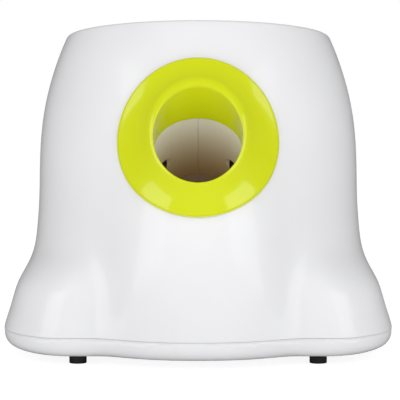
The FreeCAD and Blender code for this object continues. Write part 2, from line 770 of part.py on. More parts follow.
def in_barrel(obj):
    """Places a piece drawn with its axis on Z and z = minus the distance behind the tube end."""
    obj.Placement = barrel_frame
    return obj


def disc(name, radius, s0, s1):
    return rod(name, radius, str(s1 - s0), (0, 0, -s1))


seat_ring = cut("seat_ring", disc("seat_disc", "chute_radius - 0.1", seat_face, seat_back - 0.05),
                [disc("seat_eye", "seat_hole_radius", seat_face - 1, seat_back + 1)])
seat_cone = doc.addObject("Part::Cone", "seat_cone")
seat_cone.Radius1 = size("seat_hole_radius")
seat_cone.Radius2 = size("seat_hole_radius") + 3.0
seat_cone.Height = 2.0
seat_cone.Placement = FreeCAD.Placement(V(0, 0, -seat_face - 1.5), FreeCAD.Rotation())
seat = in_barrel(cut("seat", seat_ring, [seat_cone]))
node(seat, "ball_seat")

skirt0 = size("skirt_start")
skirt1 = skirt0 + size("skirt_length")
nose0 = skirt0 - size("nose_length")
striker_parts = [
    disc("striker_nose", "nose_radius", nose0, skirt0 + 1),
    disc("striker_skirt", "striker_radius", skirt0, skirt1),
    box("striker_web", "-3", "3", "17", "27.5", str(-skirt1), "-rack_start"),
]
pitch = math.pi * size("rack_module")
rack_root = size("rack_line") - 1.25 * size("rack_module")
rack_tip = size("rack_line") + 0.8 * size("rack_module")
half_tooth = pitch / 4 - 0.06
slope = math.tan(math.radians(20.0))
rack_points = [(26.0, size("rack_start")), (rack_root, size("rack_start"))]
for k in range(-5, 1):
    mid = size("mesh_along") + (k + 0.5) * pitch
    wide_half = half_tooth + slope * (size("rack_line") - rack_root)
    thin_half = half_tooth - slope * (rack_tip - size("rack_line"))
    rack_points.append((rack_root, mid - wide_half))
    rack_points.append((rack_tip, mid - thin_half))
    rack_points.append((rack_tip, mid + thin_half))
    rack_points.append((rack_root, mid + wide_half))
rack_points.append((rack_root, size("rack_end")))
rack_points.append((26.0, size("rack_end")))
rack_outline = polygon("rack_outline", [(-size("rack_width") / 2, v, -s) for v, s in rack_points])
striker_parts.append(extrude("rack_bar", rack_outline, (1, 0, 0), "rack_width"))
skirt_hollow = disc("skirt_hollow", "striker_radius - 2.9", skirt0 + size("crown"), skirt1 + 1)
striker = cut("striker_all", fuse("striker_block", striker_parts), [skirt_hollow])
node(in_barrel(striker), "striker")

bumper_disc = disc("bumper_disc", "bumper_radius", nose0 - size("bumper_thickness"), nose0)
bumper_dish = ball("bumper_dish", "ball_radius + 8", (0, 0, -(nose0 - size("bumper_thickness")) + 31.9))
node(in_barrel(cut("bumper", bumper_disc, [bumper_dish])), "striker_bumper")

spring_top = skirt0 + size("crown") + size("spring_wire_radius") + 0.15
spring_low = cap_face - size("spring_wire_radius") - 0.15
helix = Part.makeHelix((spring_low - spring_top) / size("spring_turns"), spring_low - spring_top, size("spring_radius"))
helix.translate(V(0, 0, -spring_low))
wire_circle = Part.Circle(V(size("spring_radius"), 0, -spring_low), V(0, 1, 0), size("spring_wire_radius"))
coil = Part.Wire(helix).makePipeShell([Part.Wire(wire_circle.toShape())], True, True)
spring = fixed("spring", coil)
node(in_barrel(spring), "striker_spring")

cap_disc = disc("cap_disc", "housing_radius", cap_face + 0.1, cap_face + size("cap_thickness"))
cap_boss = disc("cap_boss", "12", cap_face - 4, cap_face + 1)
cap_ears = []
cap_holes = []
for side in (-1, 1):
    cap_ears.append(rod("cap_wing_%d" % (side + 1), "4.5", "cap_thickness - 0.1",
                        (side * 27.5, 0, -cap_face - size("cap_thickness"))))
    cap_holes.append(rod("cap_hole_%d" % (side + 1), "screw_radius + 0.3", "10", (side * 28.2, 0, -cap_face - 6)))
cap = cut("cap", fuse("cap_block", [cap_disc, cap_boss] + cap_ears), cap_holes)
node(in_barrel(cap), "striker_end_cap")
cap_screws = [
    screw("cap_screw_%d" % (side + 1), xyz(along(cap_face + size("cap_thickness"), 0, side * 28.2)), xyz(AWAY), 8)
    for side in (-1, 1)
]
node(group("cap_screw_set", cap_screws), "end_cap_screws")

# ---------------------------------------------------------------- gears


def gear_prism(name, teeth, module, length, centre, toward, x0, tooth_there, tip=0.95):
    """A spur gear on an axle along X. A tooth, or else a gap, points in the direction toward."""
    w = fcgear.FCWireBuilder()
    involute.CreateExternalGear(w, module, int(teeth), 20.0, True, tip, 1.25, 0.3, -0.05)
    wire = fixed(name + "_outline", Part.Wire([o.toShape() for o in w.wire]))
    obj = extrude(name, wire, (0, 0, 1), length)
    turn = 0.0 if tooth_there else 180.0 / int(teeth)
    d = FreeCAD.Rotation(V(1, 0, 0), turn).multVec(toward)
    obj.Placement = FreeCAD.Placement(V(x0, centre.y, centre.z), FreeCAD.Rotation(d, V(1, 0, 0).cross(d), V(1, 0, 0), "ZXY"))
    return obj


def turned(deg):
    return V(0, math.cos(math.radians(deg)), math.sin(math.radians(deg)))


sector_pitch_radius = size("rack_module") * size("sector_teeth") / 2
first_distance = size("first_module") * (size("first_wheel_teeth") + size("first_pinion_teeth")) / 2
second_distance = size("second_module") * (size("second_wheel_teeth") + size("second_pinion_teeth")) / 2
SECTOR = along(size("mesh_along"), size("rack_line") + sector_pitch_radius)
to_reduction = turned(size("reduction_turn_deg"))
REDUCTION = SECTOR + to_reduction * first_distance
to_motor = turned(size("motor_turn_deg"))
MOTOR = REDUCTION + to_motor * second_distance

sector_full = gear_prism("sector_full", size("sector_teeth"), size("rack_module"), "rack_width", SECTOR, -ACROSS,
                         -size("rack_width") / 2, True)
tooth_step = 360.0 / size("sector_teeth")
wedge_points = [(-size("rack_width") / 2 - 1, SECTOR.y, SECTOR.z)]
for k in range(9):
    d = FreeCAD.Rotation(V(1, 0, 0), 1.5 * tooth_step - k * tooth_step).multVec(-ACROSS)
    p = SECTOR + d * 26.0
    wedge_points.append((-size("rack_width") / 2 - 1, p.y, p.z))
wedge = extrude("sector_wedge", polygon("wedge_outline", wedge_points), (1, 0, 0), "rack_width + 2")
sector_teeth_part = common("sector_toothed", sector_full, wedge)
sector_disc = rod("sector_disc", "rack_module*sector_teeth/2 - 1.35*rack_module", "rack_width",
                  (-size("rack_width") / 2, SECTOR.y, SECTOR.z), (1, 0, 0))
sector_hub = rod("sector_hub", "6", "2", (size("rack_width") / 2 - 0.5, SECTOR.y, SECTOR.z), (1, 0, 0))
first_wheel = gear_prism("first_wheel", size("first_wheel_teeth"), size("first_module"), "wheel_thickness", SECTOR,
                         to_reduction, 5.0, True, 0.72)
wheel_windows = []
for k in range(5):
    p = SECTOR + turned(72 * k + 20) * 13.0
    wheel_windows.append(rod("wheel_window_%d" % k, "3.6", "8", (4.9, p.y, p.z), (1, 0, 0)))
sector_bore = rod("sector_bore", "axle_radius + axle_gap", "40", (-15, SECTOR.y, SECTOR.z), (1, 0, 0))
sector_gear = cut("sector_gear_all", fuse("sector_block", [sector_teeth_part, sector_disc, sector_hub,
                  cut("first_wheel_open", first_wheel, wheel_windows)]), [sector_bore])
node(sector_gear, "sector_gear")

first_pinion = gear_prism("first_pinion", size("first_pinion_teeth"), size("first_module"), "7.5", REDUCTION,
                          -to_reduction, 4.7, False, 0.9)
second_wheel = gear_prism("second_wheel", size("second_wheel_teeth"), size("second_module"), "thin_wheel_thickness",
                          REDUCTION, to_motor, 12.0, True, 0.85)
reduction_bore = rod("reduction_bore", "axle_radius + axle_gap", "40", (-15, REDUCTION.y, REDUCTION.z), (1, 0, 0))
node(cut("reduction_all", fuse("reduction_block", [first_pinion, second_wheel]), [reduction_bore]), "reduction_gear")

motor_teeth = gear_prism("motor_teeth", size("second_pinion_teeth"), size("second_module"), "5.5", MOTOR,
                         -to_motor, 11.5, False, 0.9)
motor_x = size("right_plate_x") + size("plate_thickness") + 0.1
motor_shaft = rod("motor_shaft", "motor_shaft_radius", "%s" % (motor_x + size("motor_length") - 11.0),
                  (10.5, MOTOR.y, MOTOR.z), (1, 0, 0))
node(fuse("pinion_all", [motor_teeth, motor_shaft]), "motor_pinion")

# ---------------------------------------------------------------- gearbox

PLATE = [(43, 38.1), (86, 38.1), (86, 64), (78, 108), (36, 108), (12, 84), (12, 60), (28, 42)]
SPACERS = [(50, 43.8), (80, 46), (72, 102), (38, 101)]
for side, label, x_name, shoe0, shoe1, spots in (
    (-1, "gearbox_left_plate", "left_plate_x", "left_plate_x - 12", "left_plate_x + 1", [(-14, 55), (-14, 75)]),
    (1, "gearbox_right_plate", "right_plate_x", "right_plate_x + 1", "right_plate_x + 15", [(28, 55), (28, 75)]),
):
    x0 = size(x_name)
    outline = polygon(label + "_outline", [(x0, y, z) for y, z in PLATE])
    sheet_part = extrude(label + "_sheet", outline, (1, 0, 0), "plate_thickness")
    shoe = box(label + "_shoe", shoe0, shoe1, "49", "81", "38.1", "40.6")
    holes = [
        rod(label + "_sector_eye", "axle_radius + 0.02", "10", (x0 - 3, SECTOR.y, SECTOR.z), (1, 0, 0)),
        rod(label + "_reduction_eye", "axle_radius + 0.02", "10", (x0 - 3, REDUCTION.y, REDUCTION.z), (1, 0, 0)),
        rod(label + "_light_eye", "6", "10", (x0 - 3, 72, 78), (1, 0, 0)),
    ]
    for i, (y, z) in enumerate(SPACERS):
        holes.append(rod(label + "_spacer_eye_%d" % i, "screw_radius + 0.2", "10", (x0 - 3, y, z), (1, 0, 0)))
    for i, (x, y) in enumerate(spots):
        holes.append(rod(label + "_shoe_eye_%d" % i, "screw_radius + 0.3", "10", (x, y, 34), (0, 0, 1)))
    if side > 0:
        holes.append(rod(label + "_motor_eye", "motor_boss_radius + 0.1", "10", (x0 - 3, MOTOR.y, MOTOR.z), (1, 0, 0)))
        for i, turn in enumerate((0, 180)):
            p = MOTOR + turned(turn) * 8.5
            holes.append(rod(label + "_screw_eye_%d" % i, "screw_radius + 0.2", "10", (x0 - 3, p.y, p.z), (1, 0, 0)))
    node(cut(label + "_all", fuse(label + "_block", [sheet_part, shoe]), holes), label)

inner_left = size("left_plate_x") + size("plate_thickness")
spacers = []
for i, (y, z) in enumerate(SPACERS):
    pillar = rod("pillar_%d" % i, "spacer_radius", "right_plate_x - left_plate_x - plate_thickness",
                 (inner_left, y, z), (1, 0, 0))
    eye = rod("pillar_eye_%d" % i, "pilot_radius", "60", (-20, y, z), (1, 0, 0))
    spacers.append(cut("spacer_%d" % i, pillar, [eye]))
node(group("spacer_set", spacers), "gearbox_spacers")
box_screws = []
for i, (y, z) in enumerate(SPACERS):
    box_screws.append(screw("left_screw_%d" % i, (size("left_plate_x"), y, z), (1, 0, 0), 9))
    box_screws.append(screw("right_screw_%d" % i, (size("right_plate_x") + size("plate_thickness"), y, z), (-1, 0, 0), 9))
node(group("box_screw_set", box_screws), "gearbox_screws")
deck_screws = [
    screw("deck_screw_%d" % i, (x, y, 40.6), (0, 0, -1), 5)
    for i, (x, y) in enumerate([(-14, 55), (-14, 75), (28, 55), (28, 75)])
]
node(group("deck_screw_set", deck_screws), "gearbox_mount_screws")

axle_start = size("left_plate_x") - 2.0
for label, centre in (("sector_axle", SECTOR), ("reduction_axle", REDUCTION)):
    node(rod(label, "axle_radius", "right_plate_x + plate_thickness - left_plate_x + 4",
             (axle_start, centre.y, centre.z), (1, 0, 0)), label)
clips = []
for i, centre in enumerate((SECTOR, REDUCTION)):
    for j, x in enumerate((size("left_plate_x") - 1.0, size("right_plate_x") + size("plate_thickness") + 0.2)):
        ring = rod("clip_%d_%d" % (i, j), "axle_radius + 2", "0.8", (x, centre.y, centre.z), (1, 0, 0))
        eye = rod("clip_eye_%d_%d" % (i, j), "axle_radius + 0.01", "2", (x - 0.5, centre.y, centre.z), (1, 0, 0))
        mouth = doc.addObject("Part::Box", "clip_mouth_%d_%d" % (i, j))
        mouth.Length = 2
        mouth.Width = 2.4
        mouth.Height = 6
        mouth.Placement = FreeCAD.Placement(V(x - 0.5, centre.y - 1.2, centre.z), FreeCAD.Rotation())
        clips.append(cut("clip_all_%d_%d" % (i, j), ring, [eye, mouth]))
node(group("clip_set", clips), "axle_clips")

# ---------------------------------------------------------------- motor

can = rod("motor_can", "motor_radius", "motor_length", (motor_x, MOTOR.y, MOTOR.z), (1, 0, 0))
nozzle = rod("motor_nozzle", "motor_boss_radius", "2.2", (motor_x - 2.2, MOTOR.y, MOTOR.z), (1, 0, 0))
shaft_bore = rod("shaft_bore", "motor_shaft_radius + axle_gap", "80", (0, MOTOR.y, MOTOR.z), (1, 0, 0))
motor_pilots = []
motor_screws = []
for i, turn in enumerate((0, 180)):
    p = MOTOR + turned(turn) * 8.5
    motor_pilots.append(rod("motor_pilot_%d" % i, "pilot_radius", "5", (motor_x - 1, p.y, p.z), (1, 0, 0)))
    motor_screws.append(screw("motor_screw_%d" % i, (size("right_plate_x"), p.y, p.z), (1, 0, 0), 5.5))
node(cut("motor_all", fuse("motor_block", [can, nozzle]), [shaft_bore] + motor_pilots), "motor")
node(group("motor_screw_set", motor_screws), "motor_screws")
back_x = motor_x + size("motor_length")
end_cap = rod("motor_cap_disc", "motor_radius - 1.5", "4", (back_x + 0.02, MOTOR.y, MOTOR.z), (1, 0, 0))
end_hub = rod("motor_cap_hub", "4", "6", (back_x + 0.02, MOTOR.y, MOTOR.z), (1, 0, 0))
node(cut("motor_cap", fuse("motor_cap_block", [end_cap, end_hub]), [shaft_bore]), "motor_end_cap")
tags = []
for i, side in enumerate((-1, 1)):
    y = MOTOR.y + side * 8.0
    tag = doc.addObject("Part::Box", "motor_tag_%d" % i)
    tag.Length = 5
    tag.Width = 0.6
    tag.Height = 3
    tag.Placement = FreeCAD.Placement(V(back_x + 4.1, y - 0.3, MOTOR.z - 1.5), FreeCAD.Rotation())
    tags.append(tag)
node(group("motor_tags", tags), "motor_terminals")

# ---------------------------------------------------------------- batteries

cell_z = floor_top + size("cell_radius") + 0.2
row_y = [size("box_front_y") + size("box_wall") + size("cell_pitch") * (0.5 + i) for i in range(2)]
cells = []
coils = []
plates = []
for i, y in enumerate(row_y):
    sprung = 1 if i == 0 else -1
    inner_face = size("box_half_width") - size("box_wall")
    solid_end = inner_face - size("contact_thickness") - 0.2
    nub = size("cell_nub")
    for j in (0, 1):
        # each row starts with a positive nub on the plain contact and ends on the spring
        reach = solid_end - j * (size("cell_length") + 0.1)
        can_at = (-sprung * (reach - nub), y, cell_z)
        nub_at = (-sprung * reach, y, cell_z)
        can = rod("cell_can_%d_%d" % (i, j), "cell_radius", "cell_length - cell_nub", can_at, (sprung, 0, 0))
        tip = rod("cell_tip_%d_%d" % (i, j), "3.2", "cell_nub + 1", nub_at, (sprung, 0, 0))
        cells.append(fuse("cell_%d_%d" % (i, j), [can, tip]))
    for side in (-1, 1):
        x = side * (inner_face - 0.1 - size("contact_thickness") / 2)
        plate = doc.addObject("Part::Box", "contact_%d_%d" % (i, side + 1))
        plate.setExpression("Length", "sizes.contact_thickness")
        plate.Width = 16
        plate.Height = 16
        corner = V(x - size("contact_thickness") / 2, y - 8, cell_z - 8)
        plate.Placement = FreeCAD.Placement(corner, FreeCAD.Rotation())
        plates.append(plate)
    # the spring fills the gap between the last cell and its contact
    spring_from = -(solid_end - 2 * size("cell_length") - 0.1) + 0.5
    spring_to = solid_end - 0.4
    turns = 3
    lift = spring_to - spring_from
    twist = Part.makeHelix(lift / turns, lift, 5.5)
    ring = Part.Circle(V(5.5, 0, 0), V(0, 1, 0), 0.4)
    shape = Part.Wire(twist).makePipeShell([Part.Wire(ring.toShape())], True, True)
    winding = fixed("cell_spring_%d" % i, shape)
    turn = FreeCAD.Rotation(V(0, 0, 1), V(sprung, 0, 0))
    winding.Placement = FreeCAD.Placement(V(sprung * spring_from, y, cell_z), turn)
    coils.append(winding)
node(group("cell_set", cells), "battery_cells")
node(group("contact_set", plates), "battery_contacts")
node(group("cell_spring_set", coils), "battery_springs")

# ---------------------------------------------------------------- rear panel

front_y = size("panel_y") + size("panel_thickness")
mid_z = size("panel_mid_z")
board_face = size("panel_y") - 6.4
panel_plate = box("panel_plate", "-panel_half_width", "panel_half_width", "panel_y + 0.05",
                  "panel_y + panel_thickness", "panel_low_z", "panel_high_z")
board_posts = [(-11, mid_z - 8.5), (14, mid_z - 8.5), (-11, mid_z + 9), (14, mid_z + 9)]
post_parts = [
    rod("board_post_%d" % i, "2.4", str(size("panel_y") - board_face + 0.5), (x, board_face, z), (0, 1, 0))
    for i, (x, z) in enumerate(board_posts)
]
LENS_X = (-7.0, 0.0, 7.0)
lens_z = mid_z + 6.5
button_z = mid_z - 5.0
panel_holes = [
    rod("button_eye", "button_radius + button_gap", "20", (0, size("panel_y") - 10, button_z), (0, 1, 0)),
    rod("jack_eye", "4.05", "20", (size("jack_x"), size("panel_y") - 10, mid_z), (0, 1, 0)),
    box("rocker_eye", "rocker_x - 6.6", "rocker_x + 6.6", "panel_y - 10", "panel_y + 10",
        "panel_mid_z - 9.6", "panel_mid_z + 9.6"),
]
for i, x in enumerate(LENS_X):
    panel_holes.append(rod("lens_eye_%d" % i, "1.65", "20", (x, size("panel_y") - 10, lens_z), (0, 1, 0)))
for i, (x, z) in enumerate(board_posts):
    panel_holes.append(rod("post_eye_%d" % i, "0.9", "6", (x, board_face - 1, z), (0, 1, 0)))
node(cut("panel", fuse("panel_block", [panel_plate] + post_parts), panel_holes), "rear_panel")

lenses = [
    rod("lens_%d" % i, "1.6", "3.2", (x, size("panel_y") - 0.5, lens_z), (0, 1, 0)) for i, x in enumerate(LENS_X)
]
node(group("lens_set", lenses), "indicator_lenses")

button_cap = rod("button_cap", "button_radius", "4.2", (0, size("panel_y") - 0.4, button_z), (0, 1, 0))
button_flange = rod("button_flange", "button_radius + 1", "1.0", (0, size("panel_y") - 1.3, button_z), (0, 1, 0))
button_dish = ball("button_dish", "14", (0, size("panel_y") + 17.2, button_z))
node(cut("button", fuse("button_block", [button_cap, button_flange]), [button_dish]), "mode_button")

board = box("board", "-14", "17", "panel_y - 8", "panel_y - 6.4", "panel_mid_z - 14", "panel_mid_z + 12")
board_holes = [
    rod("board_eye_%d" % i, "1.2", "8", (x, board_face - 4, z), (0, 1, 0)) for i, (x, z) in enumerate(board_posts)
]
chips = [
    box("chip_a", "-8", "2", "panel_y - 9.6", "panel_y - 8", "panel_mid_z - 2", "panel_mid_z + 6"),
    box("chip_b", "5.4", "11.4", "panel_y - 9.4", "panel_y - 8", "panel_mid_z - 9", "panel_mid_z - 5"),
    rod("can_a", "3", "8", (8, size("panel_y") - 16, mid_z + 3), (0, 1, 0)),
    rod("can_b", "2.2", "6", (-6, size("panel_y") - 14, mid_z - 8), (0, 1, 0)),
    box("lamp_a", "-8.2", "-5.8", "panel_y - 6.4", "panel_y - 4.6", "panel_mid_z + 5.6", "panel_mid_z + 7.4"),
    box("lamp_b", "-1.2", "1.2", "panel_y - 6.4", "panel_y - 4.6", "panel_mid_z + 5.6", "panel_mid_z + 7.4"),
    box("lamp_c", "5.8", "8.2", "panel_y - 6.4", "panel_y - 4.6", "panel_mid_z + 5.6", "panel_mid_z + 7.4"),
]
node(cut("board_all", fuse("board_block", [board] + chips), board_holes), "control_board")
switch_body = box("switch_body", "-3", "3", "panel_y - 6.38", "panel_y - 3.4", "panel_mid_z - 8", "panel_mid_z - 2")
switch_tip = rod("switch_tip", "1.6", "0.6", (0, size("panel_y") - 3.5, button_z), (0, 1, 0))
node(fuse("switch_all", [switch_body, switch_tip]), "tactile_switch")
board_screws = []
for i, (x, z) in enumerate(board_posts):
    shank = rod("board_shank_%d" % i, "0.88", "4.5", (x, size("panel_y") - 8, z), (0, 1, 0))
    top = rod("board_head_%d" % i, "1.9", "1.2", (x, size("panel_y") - 9.2, z), (0, 1, 0))
    board_screws.append(fuse("board_screw_%d" % i, [shank, top]))
node(group("board_screw_set", board_screws), "board_screws")

rocker_mid = V(size("rocker_x"), front_y, mid_z)
frame_plate = box("rocker_flange", "rocker_x - 8", "rocker_x + 8", "panel_y + panel_thickness + 0.02",
                  "panel_y + panel_thickness + 1.6", "panel_mid_z - 11", "panel_mid_z + 11")
frame_body = box("rocker_body", "rocker_x - 6.5", "rocker_x + 6.5", "panel_y - 9.5",
                 "panel_y + panel_thickness + 1.6", "panel_mid_z - 9.5", "panel_mid_z + 9.5")
frame_hollow = box("rocker_hollow", "rocker_x - 5.2", "rocker_x + 5.2", "panel_y - 4.5",
                   "panel_y + panel_thickness + 6", "panel_mid_z - 8.2", "panel_mid_z + 8.2")
rocker_pins = rod("rocker_pin_hole", "1.05", "14", (size("rocker_x") - 7, front_y - 2.0, mid_z), (1, 0, 0))
node(cut("rocker_frame", fuse("rocker_frame_block", [frame_plate, frame_body]), [frame_hollow, rocker_pins]),
     "rocker_housing")
tags = [
    box("rocker_tag_%d" % i, "rocker_x - 2.2", "rocker_x + 2.2", "panel_y - 15", "panel_y - 9.6",
        "panel_mid_z + %s" % z, "panel_mid_z + %s" % (z + 0.8)) for i, z in enumerate((-5.0, 4.2))
]
node(group("rocker_tags", tags), "rocker_terminals")
# the paddle is drawn level, with its pivot on X, and leans to OFF
paddle_points = [(-7.2, -1.2), (7.2, -1.2), (7.7, 2.6), (2.0, 1.6), (-2.0, 1.6), (-7.7, 2.6)]
paddle_wire = polygon("paddle_outline", [(-4.9, y, z) for z, y in paddle_points])
paddle = extrude("paddle", paddle_wire, (1, 0, 0), "9.8")
paddle_pin = rod("paddle_pin", "1", "12.4", (-6.2, 0, 0), (1, 0, 0))
rocker = fuse("rocker", [paddle, paddle_pin])
rocker.Placement = FreeCAD.Placement(V(size("rocker_x"), front_y - 2.0, mid_z),
                                     FreeCAD.Rotation(V(1, 0, 0), size("rocker_tilt_deg")))
node(rocker, "power_rocker")

jack_nose = rod("jack_nose", "4", "10", (size("jack_x"), size("panel_y") - 6.8, mid_z), (0, 1, 0))
jack_flange = rod("jack_flange", "5.4", "1.0", (size("jack_x"), front_y + 0.02, mid_z), (0, 1, 0))
jack_body = box("jack_body", "jack_x - 5", "jack_x + 5", "panel_y - 13", "panel_y - 2.7",
                "panel_mid_z - 5", "panel_mid_z + 5")
jack_hollow = rod("jack_hollow", "3.1", "12", (size("jack_x"), size("panel_y") - 7, mid_z), (0, 1, 0))
jack_pin = rod("jack_pin", "1.0", "9", (size("jack_x"), size("panel_y") - 8, mid_z), (0, 1, 0))
jack_shell = cut("jack_shell", fuse("jack_block", [jack_nose, jack_flange, jack_body]), [jack_hollow])
node(fuse("jack", [jack_shell, jack_pin]), "dc_jack")

# ---------------------------------------------------------------- cocking sensor and leads

node(fuse("eye_all", [
    box("eye_block", "-3.5", "3.5", "41.6", "46.2", "box_roof_z + 0.05", "box_roof_z + 6"),
    box("eye_board", "-5", "5", "41.6", "46.9", "box_roof_z + 0.02", "box_roof_z + 1.2"),
]), "cocking_sensor")


def lead(name, points, radius=0.8):
    """A round lead through the points."""
    curve = Part.BSplineCurve()
    curve.interpolate([V(*p) for p in points])
    path = Part.Wire(curve.toShape())
    start = V(*points[0])
    tangent = curve.tangent(curve.FirstParameter)[0]
    ring = Part.Wire(Part.Circle(start, tangent, radius).toShape())
    return fixed(name, path.makePipeShell([ring], True, False))


tag_x = back_x + 9.5
motor_leads = [
    lead("motor_lead_%d" % i, [
        (tag_x, MOTOR.y + side * 8.0, MOTOR.z), (tag_x + 2, MOTOR.y + side * 8.0, MOTOR.z - 0.5),
        (tag_x + 4, MOTOR.y + side * 7.0, MOTOR.z - 6),
        (tag_x - 2, MOTOR.y + 18 + side * 3, MOTOR.z - 14), (30 + side * 3, 93, 76), (12 + side * 2, 99.5, 67)])
    for i, side in enumerate((-1, 1))
]
node(group("motor_lead_set", motor_leads), "motor_leads")
half = size("box_half_width")
battery_leads = [
    lead("battery_lead_%d" % i, [
        (side * (half + 1.2), 60, 26), (side * (half + 2), 66, 36), (side * (half - 10), 84, 44),
        (side * 24, 92, 46.5), (side * 3 + 1, 102.0, 47.4)])
    for i, side in enumerate((-1, 1))
]
node(group("battery_lead_set", battery_leads), "battery_leads")
sensor_leads = [
    lead("sensor_lead_%d" % i, [
        xyz(along(size("sensor_along"), size("sensor_above"), side * 37.4)), (side * 46, -50, 118),
        (side * 50, 0, 112), (side * 44, 60, 112), (side * 20, 88, 86), (side * 5 - 2, 99.0, 69.5 + side)])
    for i, side in enumerate((-1, 1))
]
node(group("sensor_lead_set", sensor_leads), "sensor_leads")

node(group("ring_screw_set", ring_screws), "ring_screws")

# ---------------------------------------------------------------- checks and files

doc.recompute()
for obj in doc.Objects:
    if "Invalid" in obj.State or "Error" in obj.State:
        raise RuntimeError("not computed: " + obj.Name)
os.makedirs("parts", exist_ok=True)
for obj in nodes:
    shape = obj.Shape
    if shape.isNull() or not shape.isValid() or not shape.Solids:
        raise RuntimeError("no valid solid: " + obj.Label)
    shape.exportStep("parts/%s.step" % obj.Label)
    print("%-24s %2d solids %10.0f mm3  %s" % (obj.Label, len(shape.Solids), shape.Volume,
                                              " ".join("%.1f" % c for c in (
                                                  shape.BoundBox.XMin, shape.BoundBox.XMax, shape.BoundBox.YMin,
                                                  shape.BoundBox.YMax, shape.BoundBox.ZMin, shape.BoundBox.ZMax))))
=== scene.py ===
import json
import math

import bmesh
import bpy
import numpy as np
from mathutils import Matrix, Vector


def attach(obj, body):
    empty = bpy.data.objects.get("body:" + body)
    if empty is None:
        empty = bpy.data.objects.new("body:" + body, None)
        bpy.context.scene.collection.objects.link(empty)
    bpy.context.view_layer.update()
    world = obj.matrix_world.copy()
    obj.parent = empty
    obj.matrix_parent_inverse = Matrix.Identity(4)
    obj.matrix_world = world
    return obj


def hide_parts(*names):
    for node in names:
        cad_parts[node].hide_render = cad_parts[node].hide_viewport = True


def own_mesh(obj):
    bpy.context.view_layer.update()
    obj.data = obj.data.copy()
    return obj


# Automatic ball launcher. Metres, +Z up, the mouth faces -Y. The surfaces below are worked out in
# millimetres and scaled when they become meshes.

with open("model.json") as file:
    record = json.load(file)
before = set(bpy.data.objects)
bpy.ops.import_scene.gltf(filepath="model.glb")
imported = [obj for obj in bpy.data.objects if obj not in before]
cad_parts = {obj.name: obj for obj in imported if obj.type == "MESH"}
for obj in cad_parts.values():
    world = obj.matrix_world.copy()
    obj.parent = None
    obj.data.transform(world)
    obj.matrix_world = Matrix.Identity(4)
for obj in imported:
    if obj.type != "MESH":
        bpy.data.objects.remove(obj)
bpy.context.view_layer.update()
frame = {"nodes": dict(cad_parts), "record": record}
MM = 0.001

# ---------------------------------------------------------------- measures shared with the solids

# height, core radius, nose height in front and behind, lobe height, bluntness of the nose
LEVELS = np.array([
    (5.0, 119.0, 7.0, 26.0, 1.0), (17.5, 118.0, 7.5, 27.0, 1.0), (27.0, 115.0, 10.5, 27.0, 1.0),
    (37.0, 111.8, 13.8, 27.0, 0.95), (47.0, 109.7, 16.0, 24.5, 0.9), (57.0, 108.6, 17.0, 16.0, 0.8),
    (67.0, 108.2, 17.2, 6.5, 0.7), (78.0, 107.8, 17.0, 1.8, 0.6), (95.0, 106.9, 16.6, 0.0, 0.45),
    (120.0, 106.2, 13.4, 0.0, 0.25), (145.0, 104.5, 8.5, 0.0, 0.1), (165.0, 101.0, 4.5, 0.0, 0.0),
    (185.0, 95.2, 1.4, 0.0, 0.0), (200.0, 89.4, 0.2, 0.0, 0.0), (213.0, 83.0, 0.0, 0.0, 0.0),
    (226.0, 75.5, 0.0, 0.0, 0.0)])
WALL = 3.0
RIM_MID_Z = 204.4
RIM_LEAN = math.radians(7.6)
RIM_HEIGHT = 3.0
RIM_CORNER = 1.6
SEAM = 0.3
FLANGE_GAP = 0.2
PARTING_Z = 17.5
RING = np.array([0.0, -113.0, 144.5])
FLANGE_LEAN = math.radians(18.0)
OUT = np.array([0.0, -math.cos(FLANGE_LEAN), math.sin(FLANGE_LEAN)])
UPWARD = np.array([0.0, math.sin(FLANGE_LEAN), math.cos(FLANGE_LEAN)])
SIDE = np.array([1.0, 0.0, 0.0])
LEAN = math.radians(45.0)
AWAY = np.array([0.0, -math.cos(LEAN), math.sin(LEAN)])
ACROSS = np.array([0.0, math.sin(LEAN), math.cos(LEAN)])
# the launch tube's end inside the body, in millimetres
TUBE_END = np.array([0.0, -105.0, 134.0])
BORE = 27.5
TUBE_WALL = 2.7
FLANGE_RADIUS = 50.6
FLANGE_THICK = 3.2
FLANGE_CORNER = 1.3
# the mouth's height in front of the flange plane, how much more it has at the bottom, its rounding
LIP_FRONT = 6.4
LIP_LOW_EXTRA = 1.1
MOUTH_ROUND = 4.8
# how late the ring's face rises from the body's shape to the mouth: 1 is straight
FACE_BEND = 2.4
# how far each cubic's handles reach, as a share of the rounding
HANDLE = 0.55
# radii of the two rings of points on the flange's underside
UNDER_INNER = 38.5
UNDER_OUTER = 45.0
SHELL_HOLE = 37.0
HOLE = RING - UPWARD * 4.0
POCKET_HALF = 36.0
POCKET_LOW = 44.0
POCKET_HIGH = 74.0
PANEL_Y = 111.0

# ---------------------------------------------------------------- the body's surface


def smooth_columns(knots, values):
    """Natural cubic spline through every column of values: returns a function of an array of heights.
    The second derivatives solve the usual tridiagonal system."""
    gap = np.diff(knots)
    count = len(knots)
    system = np.eye(count)
    right = np.zeros((count, values.shape[1]))
    inner = np.arange(1, count - 1)
    system[inner, inner - 1] = gap[:-1]
    system[inner, inner] = 2 * (gap[:-1] + gap[1:])
    system[inner, inner + 1] = gap[1:]
    slope = np.diff(values, axis=0) / gap[:, None]
    right[1:-1] = 6 * np.diff(slope, axis=0)
    bend = np.linalg.solve(system, right)

    def at(height):
        z = np.clip(height, knots[0], knots[-1])
        i = np.clip(np.searchsorted(knots, z) - 1, 0, count - 2)
        h = gap[i][..., None]
        a = (knots[i + 1] - z)[..., None]
        b = (z - knots[i])[..., None]
        return ((bend[i] * a ** 3 + bend[i + 1] * b ** 3) / (6 * h)
                + (values[i] / h - bend[i] * h / 6) * a + (values[i + 1] / h - bend[i + 1] * h / 6) * b)

    return at


level_at = smooth_columns(LEVELS[:, 0], LEVELS[:, 1:])


